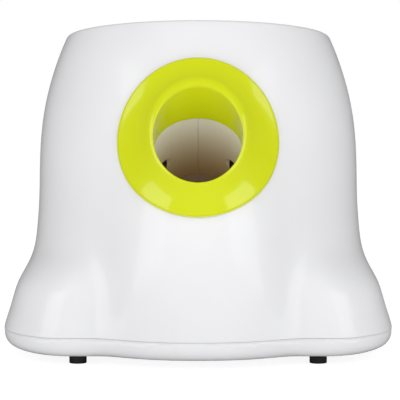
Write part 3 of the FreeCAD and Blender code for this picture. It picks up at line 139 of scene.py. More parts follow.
def body_radius(turn, height):
    """Distance of the surface from the Z axis: core + nose * exp(-(angle / width) ^ power) + lobe * share,
    where angle is measured from the nearer of -Y and +Y and the lobe's share is a logistic rise that
    eases back to 0.2 at the side."""
    core, nose, lobe, blunt = np.moveaxis(level_at(height), -1, 0)
    angle = np.degrees(np.abs(np.mod(turn + math.pi / 2, math.pi) - math.pi / 2))
    width = 22.0 + 8.0 * blunt
    nose_share = np.exp(-((angle / width) ** (2.0 + 2.0 * blunt)))
    rise = 1.0 / (1.0 + np.exp(-(angle - 36.0) / 3.2))
    past = np.radians(np.clip(90.0 * (angle - 50.0) / 40.0, 0.0, 90.0))
    return core + nose * nose_share + lobe * rise * (0.2 + 0.8 * np.cos(past) ** 2)


def body_point(turn, height, grow=0.0):
    """The surface point at an angle from -Y towards +X and a height, moved outwards by grow."""
    turn, height = np.broadcast_arrays(turn, height)
    r = body_radius(turn, height) + grow
    return np.stack([r * np.sin(turn), -r * np.cos(turn), height], axis=-1)


def reach_surface(start, direction, grow, near=-60.0, far=60.0):
    """Moves each start point along direction until it meets the surface grown by grow: bisection on
    the distance from the Z axis less the surface's radius, positive outside."""
    lo = np.full(start.shape[:-1], near)
    hi = np.full(start.shape[:-1], far)
    for _ in range(42):
        mid = (lo + hi) / 2
        p = start + mid[..., None] * direction
        turn = np.arctan2(p[..., 0], -p[..., 1])
        inside = np.hypot(p[..., 0], p[..., 1]) < body_radius(turn, p[..., 2]) + grow
        lo = np.where(inside, mid, lo)
        hi = np.where(inside, hi, mid)
    return start + lo[..., None] * direction


def rim_height(y, drop):
    """Height of the leaning rim plane, lowered by drop along its normal, over depth y."""
    return RIM_MID_Z - math.tan(RIM_LEAN) * y - drop / math.cos(RIM_LEAN)


def rim_outline(turn, inset, drop):
    """The body's outline cut by the rim plane lowered by drop, moved inwards by inset."""
    top = np.full(turn.shape, 200.0)
    for _ in range(14):
        y = -(body_radius(turn, top) - inset) * np.cos(turn)
        top = rim_height(y, drop)
    return body_point(turn, top, -inset)


# ---------------------------------------------------------------- meshes


def mesh_piece(name, points, faces, body, finish, replaced=(), sharp_deg=32.0):
    """A mesh object from points in millimetres and quads, smooth except at edges sharper than sharp_deg."""
    mesh = bpy.data.meshes.new(name)
    mesh.from_pydata((np.asarray(points, float).reshape(-1, 3) * MM).tolist(), [], [list(f) for f in faces])
    mesh.validate()
    obj = bpy.data.objects.new(name, mesh)
    bpy.context.scene.collection.objects.link(obj)
    return finish_piece(obj, body, finish, replaced, sharp_deg)


def finish_piece(obj, body, finish, replaced=(), sharp_deg=32.0):
    """Smooth shading, the finish, the body, and hiding the nodes that the piece stands for."""
    mesh = obj.data
    mesh.polygons.foreach_set("use_smooth", np.ones(len(mesh.polygons), bool))
    mesh.set_sharp_from_angle(angle=math.radians(sharp_deg))
    mesh.materials.clear()
    mesh.materials.append(finish)
    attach(obj, body)
    if replaced:
        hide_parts(*replaced)
    return obj


def ring_faces(rows, columns, close_rows=False, offset=0):
    """Quads between neighbouring rings of a grid whose columns close on themselves."""
    i = np.arange(rows if close_rows else rows - 1)[:, None]
    j = np.arange(columns)[None, :]
    after_i = (i + 1) % rows
    after_j = (j + 1) % columns
    quads = np.stack(np.broadcast_arrays(i * columns + j, i * columns + after_j,
                                         after_i * columns + after_j, after_i * columns + j), axis=-1)
    return quads.reshape(-1, 4) + offset


def closed_rings(rings):
    """Points and quads of a ring-shaped body from a closed list of rings."""
    points = np.stack(rings)
    return points, ring_faces(points.shape[0], points.shape[1], close_rows=True)


def arc(centre, radius, start_deg, end_deg, count):
    """Points of a plane arc as (x, y) pairs."""
    a = np.radians(np.linspace(start_deg, end_deg, count))
    return [(centre[0] + radius * math.cos(t), centre[1] + radius * math.sin(t)) for t in a]


def smooth_copy(node, body, finish, sharp_deg=30.0, bevel=0.0):
    """A welded, smooth-shaded copy of a solid that stands for it, with its edges eased by bevel mm."""
    source = frame["nodes"][node]
    obj = bpy.data.objects.new(node + "_piece", source.data.copy())
    bpy.context.scene.collection.objects.link(obj)
    work = bmesh.new()
    work.from_mesh(obj.data)
    bmesh.ops.remove_doubles(work, verts=work.verts, dist=2e-6)
    bmesh.ops.dissolve_degenerate(work, edges=work.edges, dist=1e-6)
    work.to_mesh(obj.data)
    work.free()
    if bevel:
        ease = obj.modifiers.new("ease", "BEVEL")
        ease.width = bevel * MM
        ease.segments = 2
        ease.limit_method = "ANGLE"
        ease.angle_limit = math.radians(40)
        ease.harden_normals = False
        ease.use_clamp_overlap = True
    return finish_piece(obj, body, finish, (node,), sharp_deg)


# ---------------------------------------------------------------- finishes


def finish_nodes(name, colour, roughness, metallic=0.0, coat=0.0, coat_rough=0.05, ior=1.5):
    """A material with its shader; the varying inputs are linked by the caller."""
    material = bpy.data.materials.new(name)
    material.use_nodes = True
    tree = material.node_tree
    shader = tree.nodes["Principled BSDF"]
    shader.inputs["Base Color"].default_value = (*colour, 1.0)
    shader.inputs["Roughness"].default_value = roughness
    shader.inputs["Metallic"].default_value = metallic
    shader.inputs["IOR"].default_value = ior
    shader.inputs["Coat Weight"].default_value = coat
    shader.inputs["Coat Roughness"].default_value = coat_rough
    return material, tree, shader


def noise(tree, scale, detail=3.0, rough=0.5, stretch=(1.0, 1.0, 1.0)):
    """Noise on Object coordinates, stretched along the axes."""
    place = tree.nodes.new("ShaderNodeTexCoord")
    mapping = tree.nodes.new("ShaderNodeMapping")
    mapping.inputs["Scale"].default_value = stretch
    pattern = tree.nodes.new("ShaderNodeTexNoise")
    pattern.inputs["Scale"].default_value = scale
    pattern.inputs["Detail"].default_value = detail
    pattern.inputs["Roughness"].default_value = rough
    tree.links.new(place.outputs["Object"], mapping.inputs["Vector"])
    tree.links.new(mapping.outputs["Vector"], pattern.inputs["Vector"])
    return pattern


def spread(tree, pattern, low, high, socket):
    """Sends the noise to a socket, spread from low to high."""
    scale = tree.nodes.new("ShaderNodeMapRange")
    scale.inputs["From Min"].default_value = 0.3
    scale.inputs["From Max"].default_value = 0.7
    scale.inputs["To Min"].default_value = low
    scale.inputs["To Max"].default_value = high
    tree.links.new(pattern.outputs["Fac"], scale.inputs["Value"])
    tree.links.new(scale.outputs["Result"], socket)


def two_tones(tree, pattern, first, second, shader):
    """Base colour that wanders between two close tones with the noise."""
    ramp = tree.nodes.new("ShaderNodeValToRGB")
    ramp.color_ramp.elements[0].position = 0.35
    ramp.color_ramp.elements[1].position = 0.65
    ramp.color_ramp.elements[0].color = (*first, 1.0)
    ramp.color_ramp.elements[1].color = (*second, 1.0)
    tree.links.new(pattern.outputs["Fac"], ramp.inputs["Fac"])
    tree.links.new(ramp.outputs["Color"], shader.inputs["Base Color"])


def relief(tree, pattern, depth_mm, shader, strength=1.0):
    """Surface relief from the noise, depth_mm high."""
    bump = tree.nodes.new("ShaderNodeBump")
    bump.inputs["Distance"].default_value = depth_mm * MM
    bump.inputs["Strength"].default_value = strength
    tree.links.new(pattern.outputs["Fac"], bump.inputs["Height"])
    tree.links.new(bump.outputs["Normal"], shader.inputs["Normal"])


def shade(colour, factor):
    """The colour times factor, up to 1."""
    return tuple(min(1.0, c * factor) for c in colour)


def moulded_gloss(name, colour, roughness=0.16, coat=0.6, wander=0.015, sheen=0.5):
    """Polished injection-moulded plastic: faint flow tone, soft roughness patches, slight waviness."""
    material, tree, shader = finish_nodes(name, colour, roughness, coat=coat, coat_rough=0.04, ior=1.5)
    shader.inputs["Specular IOR Level"].default_value = sheen
    two_tones(tree, noise(tree, 14.0, 2.0), shade(colour, 1 - wander), shade(colour, 1 + wander), shader)
    spread(tree, noise(tree, 55.0, 4.0), roughness * 0.8, roughness * 1.3, shader.inputs["Roughness"])
    relief(tree, noise(tree, 30.0, 1.0), 0.012, shader, 0.35)
    return material


def grained(name, colour, roughness=0.5, grain=900.0, depth=0.03, wander=0.06):
    """Satin moulded plastic with a fine spark-eroded grain."""
    material, tree, shader = finish_nodes(name, colour, roughness)
    two_tones(tree, noise(tree, 40.0, 3.0), shade(colour, 1 - wander), shade(colour, 1 + wander), shader)
    dull = min(1.0, roughness * 1.2)
    spread(tree, noise(tree, 220.0, 3.0), roughness * 0.85, dull, shader.inputs["Roughness"])
    relief(tree, noise(tree, grain, 2.0), depth, shader, 0.7)
    return material


# places along the launch axis, counted inwards in metres: the barrel's near end and 60 mm further in, where
# the shade painted into the barrel's colour is darkest
BARREL_START = -0.169
BARREL_SHADE_DARKEST = -0.109


def cream_with_painted_shade(name, near, painted_shade_tone):
    """Satin cream plastic with painted shade: its tone turns darker and warmer down the barrel, from the
    cream near the mouth to the painted shade further in.
    """
    material, tree, shader = finish_nodes(name, near, 0.42)
    place = tree.nodes.new("ShaderNodeTexCoord")
    depth = tree.nodes.new("ShaderNodeVectorMath")
    depth.operation = "DOT_PRODUCT"
    depth.inputs[1].default_value = tuple(-AWAY)
    tree.links.new(place.outputs["Object"], depth.inputs[0])
    # painted shade: the colour darkens and warms from the mouth's cream to the shade colour down the barrel
    share = tree.nodes.new("ShaderNodeMapRange")
    share.interpolation_type = "SMOOTHSTEP"
    share.inputs["From Min"].default_value = BARREL_START
    share.inputs["From Max"].default_value = BARREL_SHADE_DARKEST
    tree.links.new(depth.outputs["Value"], share.inputs["Value"])
    ramp = tree.nodes.new("ShaderNodeValToRGB")
    ramp.color_ramp.elements[0].color = (*near, 1.0)
    ramp.color_ramp.elements[1].color = (*painted_shade_tone, 1.0)
    tree.links.new(share.outputs["Result"], ramp.inputs["Fac"])
    tree.links.new(ramp.outputs["Color"], shader.inputs["Base Color"])
    spread(tree, noise(tree, 220.0, 3.0), 0.36, 0.5, shader.inputs["Roughness"])
    relief(tree, noise(tree, 900.0, 2.0), 0.012, shader, 0.7)
    return material


def metal(name, colour, roughness=0.3, stretch=(1.0, 1.0, 18.0), grain=600.0):
    """Plated or drawn metal with fine scratches along one way and uneven dullness."""
    material, tree, shader = finish_nodes(name, colour, roughness, metallic=1.0)
    two_tones(tree, noise(tree, 90.0, 3.0), shade(colour, 0.93), shade(colour, 1.04), shader)
    spread(tree, noise(tree, 160.0, 4.0), roughness * 0.7, roughness * 1.35, shader.inputs["Roughness"])
    relief(tree, noise(tree, grain, 2.0, stretch=stretch), 0.01, shader, 0.6)
    return material


def soft_rubber(name, colour, roughness=0.75):
    """Matt rubber with fine pores and dusty patches."""
    material, tree, shader = finish_nodes(name, colour, roughness)
    two_tones(tree, noise(tree, 60.0, 4.0), shade(colour, 0.8), shade(colour, 1.5), shader)
    dull = min(1.0, roughness * 1.15)
    spread(tree, noise(tree, 300.0, 3.0), roughness * 0.9, dull, shader.inputs["Roughness"])
    relief(tree, noise(tree, 1400.0, 2.0), 0.05, shader, 0.8)
    return material


def circuit_board(name):
    """Green solder mask over copper tracks: a fine two-way grid of slightly raised, brighter lines."""
    material, tree, shader = finish_nodes(name, (0.03, 0.2, 0.08), 0.35, coat=0.4)
    brick = tree.nodes.new("ShaderNodeTexBrick")
    brick.inputs["Scale"].default_value = 160.0
    brick.inputs["Mortar Size"].default_value = 0.06
    brick.inputs["Color1"].default_value = (0.03, 0.2, 0.08, 1.0)
    brick.inputs["Color2"].default_value = (0.035, 0.24, 0.09, 1.0)
    brick.inputs["Mortar"].default_value = (0.08, 0.34, 0.12, 1.0)
    place = tree.nodes.new("ShaderNodeTexCoord")
    swap = tree.nodes.new("ShaderNodeMapping")
    swap.inputs["Rotation"].default_value = (math.pi / 2, 0.0, 0.0)
    tree.links.new(place.outputs["Object"], swap.inputs["Vector"])
    tree.links.new(swap.outputs["Vector"], brick.inputs["Vector"])
    tree.links.new(brick.outputs["Color"], shader.inputs["Base Color"])
    relief(tree, noise(tree, 500.0, 2.0), 0.02, shader, 0.5)
    return material


WHITE = moulded_gloss("white_gloss", (0.87, 0.87, 0.885), roughness=0.18, coat=0.3, sheen=0.25)
LIME = moulded_gloss("lime_gloss", (0.68, 0.75, 0.004), roughness=0.16, coat=0.75, sheen=0.4)
# the barrel's cream, with shade painted in that darkens it down the barrel
CREAM_WITH_PAINTED_SHADE = cream_with_painted_shade("off_white", (0.86, 0.82, 0.72), (0.62, 0.44, 0.24))
GREY = grained("grey_plastic", (0.17, 0.175, 0.19))
DARK = grained("dark_grey", (0.025, 0.027, 0.03), roughness=0.55)
BLACK = grained("black_plastic", (0.012, 0.012, 0.013), roughness=0.45)
BLACK_GLOSS = moulded_gloss("black_gloss", (0.01, 0.01, 0.011), roughness=0.18, wander=0.1)
RUBBER = soft_rubber("black_rubber", (0.012, 0.012, 0.012))
NYLON = grained("nylon", (0.72, 0.7, 0.62), roughness=0.38, depth=0.015, wander=0.03)
ZINC = metal("zinc", (0.62, 0.64, 0.66), 0.3, stretch=(4.0, 4.0, 4.0))
SPRING = metal("spring_steel", (0.42, 0.42, 0.44), 0.26, stretch=(1.0, 1.0, 6.0), grain=400.0)
CAN_STEEL = metal("motor_steel", (0.56, 0.57, 0.58), 0.28, stretch=(20.0, 1.0, 1.0))
BRASS = metal("brass", (0.66, 0.45, 0.16), 0.25, stretch=(20.0, 1.0, 1.0))
CELL = moulded_gloss("cell_wrap", (0.03, 0.035, 0.05), roughness=0.28, coat=0.3, wander=0.12)
BOARD = circuit_board("board_green")
TINTED = moulded_gloss("dark_lens", (0.02, 0.006, 0.008), roughness=0.08, coat=0.8, wander=0.2)
LENS = moulded_gloss("lens_clear", (0.55, 0.68, 0.58), roughness=0.12, coat=0.8, wander=0.04)
LEAD_RED = soft_rubber("lead_red", (0.35, 0.012, 0.012), 0.45)
LEAD_BLACK = soft_rubber("lead_black", (0.015, 0.015, 0.015), 0.45)
LEAD_GREY = soft_rubber("lead_grey", (0.13, 0.13, 0.13), 0.45)
FINISH = {
    "white_gloss": WHITE, "lime_gloss": LIME, "off_white": CREAM_WITH_PAINTED_SHADE, "grey_plastic": GREY, "dark_grey": DARK,
    "black_plastic": BLACK, "black_gloss": BLACK_GLOSS, "black_rubber": RUBBER, "nylon": NYLON, "zinc": ZINC,
    "spring_steel": SPRING, "motor_steel": CAN_STEEL, "brass": BRASS, "cell_wrap": CELL, "board_green": BOARD,
    "dark_lens": TINTED, "lens_clear": LENS, "lead_red": LEAD_RED, "lead_black": LEAD_BLACK,
    "lead_grey": LEAD_GREY,
}

# ---------------------------------------------------------------- upper shell

COLUMNS = 300


def shell_grid(grow, corner):
    """Rows of the shell from the parting line to its top: heights stay level up to 100, then spread
    evenly up to RIM_CORNER below the leaning rim plane, which is found by repeated substitution, and
    the last rows go over a quarter circle that is corner deep."""
    turn = np.linspace(0.0, 2 * math.pi, COLUMNS, endpoint=False)[None, :]
    low = PARTING_Z + SEAM
    level_rows = np.linspace(low, 100.0, 46)[:, None] + 0 * turn
    top = np.full((1, COLUMNS), 200.0)
    for _ in range(12):
        y = -(body_radius(turn, top) + grow) * np.cos(turn)
        top = rim_height(y, RIM_CORNER)
    share = np.linspace(0.0, 1.0, 56)[1:, None]
    high_rows = 100.0 + share * (top - 100.0)
    heights = np.concatenate([level_rows, high_rows])
    rows = body_point(turn + 0 * heights, heights, grow)
    over = [rim_outline(turn[0], corner * (1 - x) - grow, RIM_CORNER * (1 - y))
            for x, y in arc((0.0, 0.0), 1.0, 0, 90, 8)[1:]]
    return np.concatenate([rows, np.stack(over)])


def window_loop(rows, columns):
    """Grid indices round a rectangular block, anticlockwise seen from outside."""
    (r0, r1), (c0, c1) = rows, columns
    across = np.arange(c0, c1)
    up = np.arange(r0, r1)
    loop = ([(r0, c) for c in across] + [(r, c1) for r in up]
            + [(r1, c) for c in across[::-1] + 1] + [(r, c0) for r in up[::-1] + 1])
    return np.array(loop)


def rounded_target(loop, rows, columns, half, low, high, corner=2.0):
    """For each index of the block's outline, the matching point of a rounded rectangle."""
    (r0, r1), (c0, c1) = rows, columns
    u = (loop[:, 1] - c0) / (c1 - c0) * 2 - 1
    v = (loop[:, 0] - r0) / (r1 - r0) * 2 - 1
    x = u * half
    z = (low + high) / 2 + v * (high - low) / 2
    core_x = np.clip(x, -(half - corner), half - corner)
    core_z = np.clip(z, low + corner, high - corner)
    away = np.stack([x - core_x, z - core_z], axis=-1)
    size = np.linalg.norm(away, axis=-1, keepdims=True)
    reach = np.where(size > 1e-9, np.minimum(size, corner) / np.maximum(size, 1e-9), 0.0)
    both = (np.abs(away[:, 0]) > 1e-9) & (np.abs(away[:, 1]) > 1e-9)
    on_corner = away / np.maximum(size, 1e-9) * corner
    on_side = away * np.where(both, reach[:, 0], 1.0)[:, None]
    eased = np.where(both[:, None], on_corner, on_side)
    return core_x + eased[:, 0], core_z + eased[:, 1]


def shell_mesh():
    """Outer and inner skins of the shell, joined at the top, at the bottom and round two windows."""
    outer = shell_grid(0.0, RIM_CORNER)
    inner = shell_grid(-WALL, 0.0)
    rows, columns = outer.shape[:2]
    front = ((40, 92), (-21, 21))
    back_middle = COLUMNS // 2
    back = ((10, 36), (back_middle - 19, back_middle + 19))
    keep = np.ones((rows - 1, columns), bool)
    for (r0, r1), (c0, c1) in (front, back):
        keep[r0:r1, np.arange(c0, c1) % columns] = False
    quads = ring_faces(rows, columns).reshape(rows - 1, columns, 4)[keep]
    points = [outer.reshape(-1, 3), inner.reshape(-1, 3)]
    faces = [quads, quads[:, ::-1] + rows * columns]
    total = 2 * rows * columns
    j = np.arange(columns)
    k = (j + 1) % columns
    top = (rows - 1) * columns
    faces.append(np.stack([top + j, top + k, top + k + rows * columns, top + j + rows * columns], axis=-1))
    faces.append(np.stack([j + rows * columns, k + rows * columns, k, j], axis=-1))
    for number, (block_rows, block_columns) in enumerate((front, back)):
        loop = window_loop(block_rows, block_columns)
        flat = loop[:, 0] * columns + loop[:, 1] % columns
        edge_out = outer.reshape(-1, 3)[flat]
        chain = []
        if number == 0:
            rel = edge_out - HOLE
            angle = np.arctan2(rel @ UPWARD, rel[:, 0])
            circle = HOLE + SHELL_HOLE * (np.cos(angle)[:, None] * SIDE + np.sin(angle)[:, None] * UPWARD)
            for share in (0.4, 0.8, 1.0):
                start = edge_out - (edge_out - RING) @ OUT[:, None] * OUT
                mixed = start + share * (circle - start)
                chain.append(reach_surface(mixed, OUT, 0.0))
            for share in (1.0, 0.6):
                start = edge_out - (edge_out - RING) @ OUT[:, None] * OUT
                mixed = start + share * (circle - start)
                chain.append(reach_surface(mixed, OUT, -WALL))
        else:
            x, z = rounded_target(loop, block_rows, block_columns, POCKET_HALF, POCKET_LOW, POCKET_HIGH)
            behind = np.array([0.0, 1.0, 0.0])
            goal = np.stack([-x, 0 * x + 100.0, z], axis=-1)
            for share in (0.35, 0.7, 0.97, 1.0):
                mixed = edge_out * (1 - share) + goal * share
                mixed[:, 1] = 100.0
                chain.append(reach_surface(mixed, behind, 0.0))
            middle = (POCKET_LOW + POCKET_HIGH) / 2
            span = (POCKET_HIGH - POCKET_LOW) / 2

            def frame_ring(extra, y):
                return np.stack([-x * (POCKET_HALF + extra) / POCKET_HALF, 0 * x + y,
                                 middle + (z - middle) * (span + extra) / span], axis=-1)

            chain.append(chain[-1] * [1, 0, 1] + [0, PANEL_Y + 0.05, 0])
            chain.append(frame_ring(-3.5, PANEL_Y + 0.05))
            chain.append(frame_ring(-3.5, PANEL_Y - 2.5))
            chain.append(frame_ring(2.8, PANEL_Y - 2.5))
            slope = frame_ring(2.8, 100.0)
            chain.append(reach_surface(slope, behind, -WALL))
        count = len(loop)
        stack = np.stack(chain)
        points.append(stack.reshape(-1, 3))
        here = total
        a = np.arange(count)
        b = (a + 1) % count
        faces.append(np.stack([flat[a], flat[b], here + b, here + a], axis=-1))
        faces.append(ring_faces(len(chain), count, offset=here))
        last = here + (len(chain) - 1) * count
        inner_flat = flat + rows * columns
        faces.append(np.stack([last + a, last + b, inner_flat[b], inner_flat[a]], axis=-1))
        total += stack.shape[0] * count
    return np.concatenate(points), np.concatenate(faces)


points, faces = shell_mesh()
mesh_piece("upper_shell_skin", points, faces, "housing", WHITE, ("upper_shell",))

# ---------------------------------------------------------------- hopper with its rim

RIM_SIDE = np.array([0.0, -math.cos(RIM_LEAN), math.sin(RIM_LEAN)])
RIM_UP = np.array([0.0, math.sin(RIM_LEAN), math.cos(RIM_LEAN)])
THROAT_Y = 30.78
THROAT_RADIUS = 28.0
BOWL_RADIUS = 75.0
BEAD = 2.6


def leaning_circle(turn, radius, drop):
    """A circle in the rim plane lowered by drop."""
    return (np.array([0.0, 0.0, RIM_MID_Z]) - RIM_UP * drop
            + radius * (np.sin(turn)[:, None] * SIDE + np.cos(turn)[:, None] * RIM_SIDE))


def level_circle(turn, radius, y, z):
    """A level circle centred at x = 0."""
    return np.stack([radius * np.sin(turn), y - radius * np.cos(turn), 0 * turn + z], axis=-1)


def through(t, first, middle, last):
    """Quadratic blend that is first at t = 0, middle at t = 0.5 and last at t = 1."""
    return (1 - t) * (1 - 2 * t) * first + 4 * t * (1 - t) * middle + t * (2 * t - 1) * last


def hopper_mesh():
    """Closed rings: up the rim's outer edge inside the shell, over its eased corner, across the flat
    rim, over the rolled edge of the bowl, down the bowl to the throat and back up the outside."""
    turn = np.linspace(0.0, 2 * math.pi, 240, endpoint=False)
    inset = WALL + SEAM
    ease = 0.5
    rings = [rim_outline(turn, inset, RIM_HEIGHT - 0.05)]
    for x, y in arc((0.0, 0.0), ease, 0, 90, 5):
        rings.append(rim_outline(turn, inset + ease - x, ease - y))
    edge = rings[-1]
    bead = leaning_circle(turn, BOWL_RADIUS + BEAD, 0.0)
    rings += [edge + share * (bead - edge) for share in (0.1, 0.5, 0.9, 1.0)]
    for x, y in arc((0.0, 0.0), BEAD, 90, 180, 8)[1:]:
        rings.append(leaning_circle(turn, BOWL_RADIUS + BEAD + x, BEAD - y))
    lip = rings[-1]
    mouth = level_circle(turn, THROAT_RADIUS + 1.0, THROAT_Y, 172.0)
    middle = level_circle(turn, 55.0, THROAT_Y * 0.55, 183.0)
    rings += [through(t, lip, middle, mouth) for t in np.linspace(0.0, 1.0, 26)[1:]]
    for x, y in arc((0.0, 0.0), 1.0, 45, 0, 4):
        rings.append(level_circle(turn, THROAT_RADIUS + 1 - x, THROAT_Y, 171.0 + y))
    rings.append(level_circle(turn, THROAT_RADIUS, THROAT_Y, 168.0))
    rings.append(level_circle(turn, THROAT_RADIUS + 2.6, THROAT_Y, 168.0))
    outer_mouth = level_circle(turn, THROAT_RADIUS + 3.6, THROAT_Y, 169.6)
    outer_middle = level_circle(turn, 57.6, THROAT_Y * 0.55, 180.4)
    outer_lip = leaning_circle(turn, BOWL_RADIUS + 0.4, RIM_HEIGHT - 0.05)
    rings += [through(t, outer_lip, outer_middle, outer_mouth) for t in np.linspace(1.0, 0.0, 20)]
    return closed_rings(rings)


points, faces = hopper_mesh()
mesh_piece("hopper_bowl_skin", points, faces, "housing", WHITE, ("hopper_bowl",))

# ---------------------------------------------------------------- launch ring


def spokes(turn):
    """Unit vectors in the flange plane, 0 towards +X and a quarter turn upwards."""
    return np.cos(turn)[:, None] * SIDE + np.sin(turn)[:, None] * UPWARD


def flange_ring(turn, radius, grow):
    """A circle in the flange plane carried along the flange's normal to the body grown by grow."""
    return reach_surface(RING + radius * spokes(turn), OUT, grow)


def bore_ring(turn, radius, distance):
    """A circle round the launch axis, distance in front of the tube's end."""
    return (TUBE_END + AWAY * distance
            + radius * (np.cos(turn)[:, None] * SIDE + np.sin(turn)[:, None] * ACROSS))


def bore_at_height(turn, radius, height):
    """Where lines along the launch axis at this radius meet the plane height in front of the flange."""
    start = bore_ring(turn, radius, 0.0)
    along = (height - (start - RING) @ OUT) / (AWAY @ OUT)
    return start + along[:, None] * AWAY


def ring_mesh():
    """Closed rings: flange edge, flange face rising to the rounded mouth, over into the bore, along
    the bore to the tube's end and back along its outside to the flange's underside.

    The face lies on the body grown by the flange's thickness, plus rise * share ** bend, where share
    runs from 0 at the edge to 1 at the mouth and bend is FACE_BEND. The mouth's corner is a cubic curve."""
    turn = np.linspace(0.0, 2 * math.pi, 288, endpoint=False)
    low = np.clip(-np.sin(turn), 0.0, 1.0)
    low = low * low * (3 - 2 * low)
    rings = [flange_ring(turn, FLANGE_RADIUS, FLANGE_GAP)]
    flat_radius = FLANGE_RADIUS - FLANGE_CORNER
    for x, y in arc((0.0, 0.0), FLANGE_CORNER, 0, 90, 6):
        rings.append(flange_ring(turn, flat_radius + x, FLANGE_THICK - FLANGE_CORNER + y))
    mouth = bore_at_height(turn, BORE, LIP_FRONT + LIP_LOW_EXTRA * low)
    edge_flat = flat_radius * spokes(turn)
    offset = mouth - RING
    mouth_flat = offset - (offset @ OUT)[:, None] * OUT
    rise = (mouth - reach_surface(RING + mouth_flat, OUT, FLANGE_THICK)) @ OUT
    reach = np.linalg.norm(edge_flat - mouth_flat, axis=1)
    last = 1 - MOUTH_ROUND / reach
    for part in np.linspace(0.0, 1.0, 24)[1:]:
        share = part * last
        flat = edge_flat + share[:, None] * (mouth_flat - edge_flat)
        on_body = reach_surface(RING + flat, OUT, FLANGE_THICK)
        rings.append(on_body + (rise * share ** FACE_BEND)[:, None] * OUT)
    before = rings[-1]
    slope = before - rings[-2]
    slope /= np.linalg.norm(slope, axis=1)[:, None]
    # a cubic that leaves along the face and arrives along the bore's wall
    top = before + slope * MOUTH_ROUND * HANDLE
    inside = mouth - AWAY * MOUTH_ROUND
    wall = inside + AWAY * MOUTH_ROUND * HANDLE
    for t in np.linspace(0.0, 1.0, 14)[1:]:
        rings.append((1 - t) ** 3 * before + 3 * (1 - t) ** 2 * t * top
                     + 3 * (1 - t) * t ** 2 * wall + t ** 3 * inside)
    end = bore_ring(turn, BORE, 0.4)
    edge = rings[-1]
    for share in np.linspace(0.0, 1.0, 14)[1:]:
        rings.append(edge + share * (end - edge))
    rings.append(bore_ring(turn, BORE + 0.4, 0.0))
    rings.append(bore_ring(turn, BORE + TUBE_WALL - 0.3, 0.0))
    rings.append(bore_ring(turn, BORE + TUBE_WALL, 0.3))
    # the tube's outside runs up to the body grown by FLANGE_GAP, found by bisection
    start = bore_ring(turn, BORE + TUBE_WALL, 1.0)
    lo = np.zeros(len(turn))
    hi = np.full(len(turn), 60.0)
    for _ in range(40):
        mid = (lo + hi) / 2
        p = start + mid[:, None] * AWAY
        edge_radius = body_radius(np.arctan2(p[:, 0], -p[:, 1]), p[:, 2]) + FLANGE_GAP
        inside = np.hypot(p[:, 0], p[:, 1]) < edge_radius
        lo = np.where(inside, mid, lo)
        hi = np.where(inside, hi, mid)
    meet = start + lo[:, None] * AWAY
    for share in np.linspace(0.0, 1.0, 8)[1:]:
        rings.append(start + share * (meet - start))
    under = flange_ring(turn, UNDER_INNER, FLANGE_GAP)
    rings.append((meet + under) / 2)
    rings.append(under)
    rings.append(flange_ring(turn, UNDER_OUTER, FLANGE_GAP))
    return closed_rings(rings)


points, faces = ring_mesh()
mesh_piece("launch_ring_skin", points, faces, "housing", LIME, ("launch_ring",), 40.0)

# ---------------------------------------------------------------- the other solids

replaced = {"upper_shell", "hopper_bowl", "launch_ring"}
body_of_node = {n: b for b, members in frame["record"]["behaviour"]["bodies"].items() for n in members}
slot_of_node = {s["node"]: s["material_slot"] for s in frame["record"]["subparts"]}
EASED = {
    "battery_door": 0.3, "rear_panel": 0.4, "mode_button": 0.4, "power_rocker": 0.4, "rocker_housing": 0.35,
    "dc_jack": 0.25, "striker": 0.3, "striker_end_cap": 0.3, "gearbox_left_plate": 0.25,
    "gearbox_right_plate": 0.25, "control_board": 0.1, "tactile_switch": 0.15, "motor_end_cap": 0.4,
    "motor": 0.4, "battery_cells": 0.4, "rubber_feet": 0.4, "cocking_sensor": 0.2,
}
for node in sorted(frame["nodes"]):
    if node not in replaced:
        slot = slot_of_node[node]
        piece = smooth_copy(node, body_of_node[node], FINISH[slot], bevel=EASED.get(node, 0.0))
        if node == "striker_spring":
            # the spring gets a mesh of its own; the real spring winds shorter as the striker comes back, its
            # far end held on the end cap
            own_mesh(piece)

# ---------------------------------------------------------------- stage, light and camera


def outside_light(strength_seen, strength_gloss, strength_diffuse):
    """White surroundings: full strength to the camera, less in reflections, less again as fill."""
    world = bpy.data.worlds.new("surroundings")
    bpy.context.scene.world = world
    world.use_nodes = True
    tree = world.node_tree
    back = tree.nodes["Background"]
    back.inputs["Color"].default_value = (1.0, 1.0, 1.0, 1.0)
    path = tree.nodes.new("ShaderNodeLightPath")
    either = tree.nodes.new("ShaderNodeMath")
    either.operation = "MAXIMUM"
    tree.links.new(path.outputs["Is Glossy Ray"], either.inputs[0])
    tree.links.new(path.outputs["Is Transmission Ray"], either.inputs[1])
    gloss = tree.nodes.new("ShaderNodeMapRange")
    gloss.inputs["To Min"].default_value = strength_diffuse
    gloss.inputs["To Max"].default_value = strength_gloss
    tree.links.new(either.outputs[0], gloss.inputs["Value"])
    pick = tree.nodes.new("ShaderNodeMix")
    pick.data_type = "FLOAT"
    tree.links.new(path.outputs["Is Camera Ray"], pick.inputs["Factor"])
    tree.links.new(gloss.outputs["Result"], pick.inputs["A"])
    pick.inputs["B"].default_value = strength_seen
    tree.links.new(pick.outputs["Result"], back.inputs["Strength"])


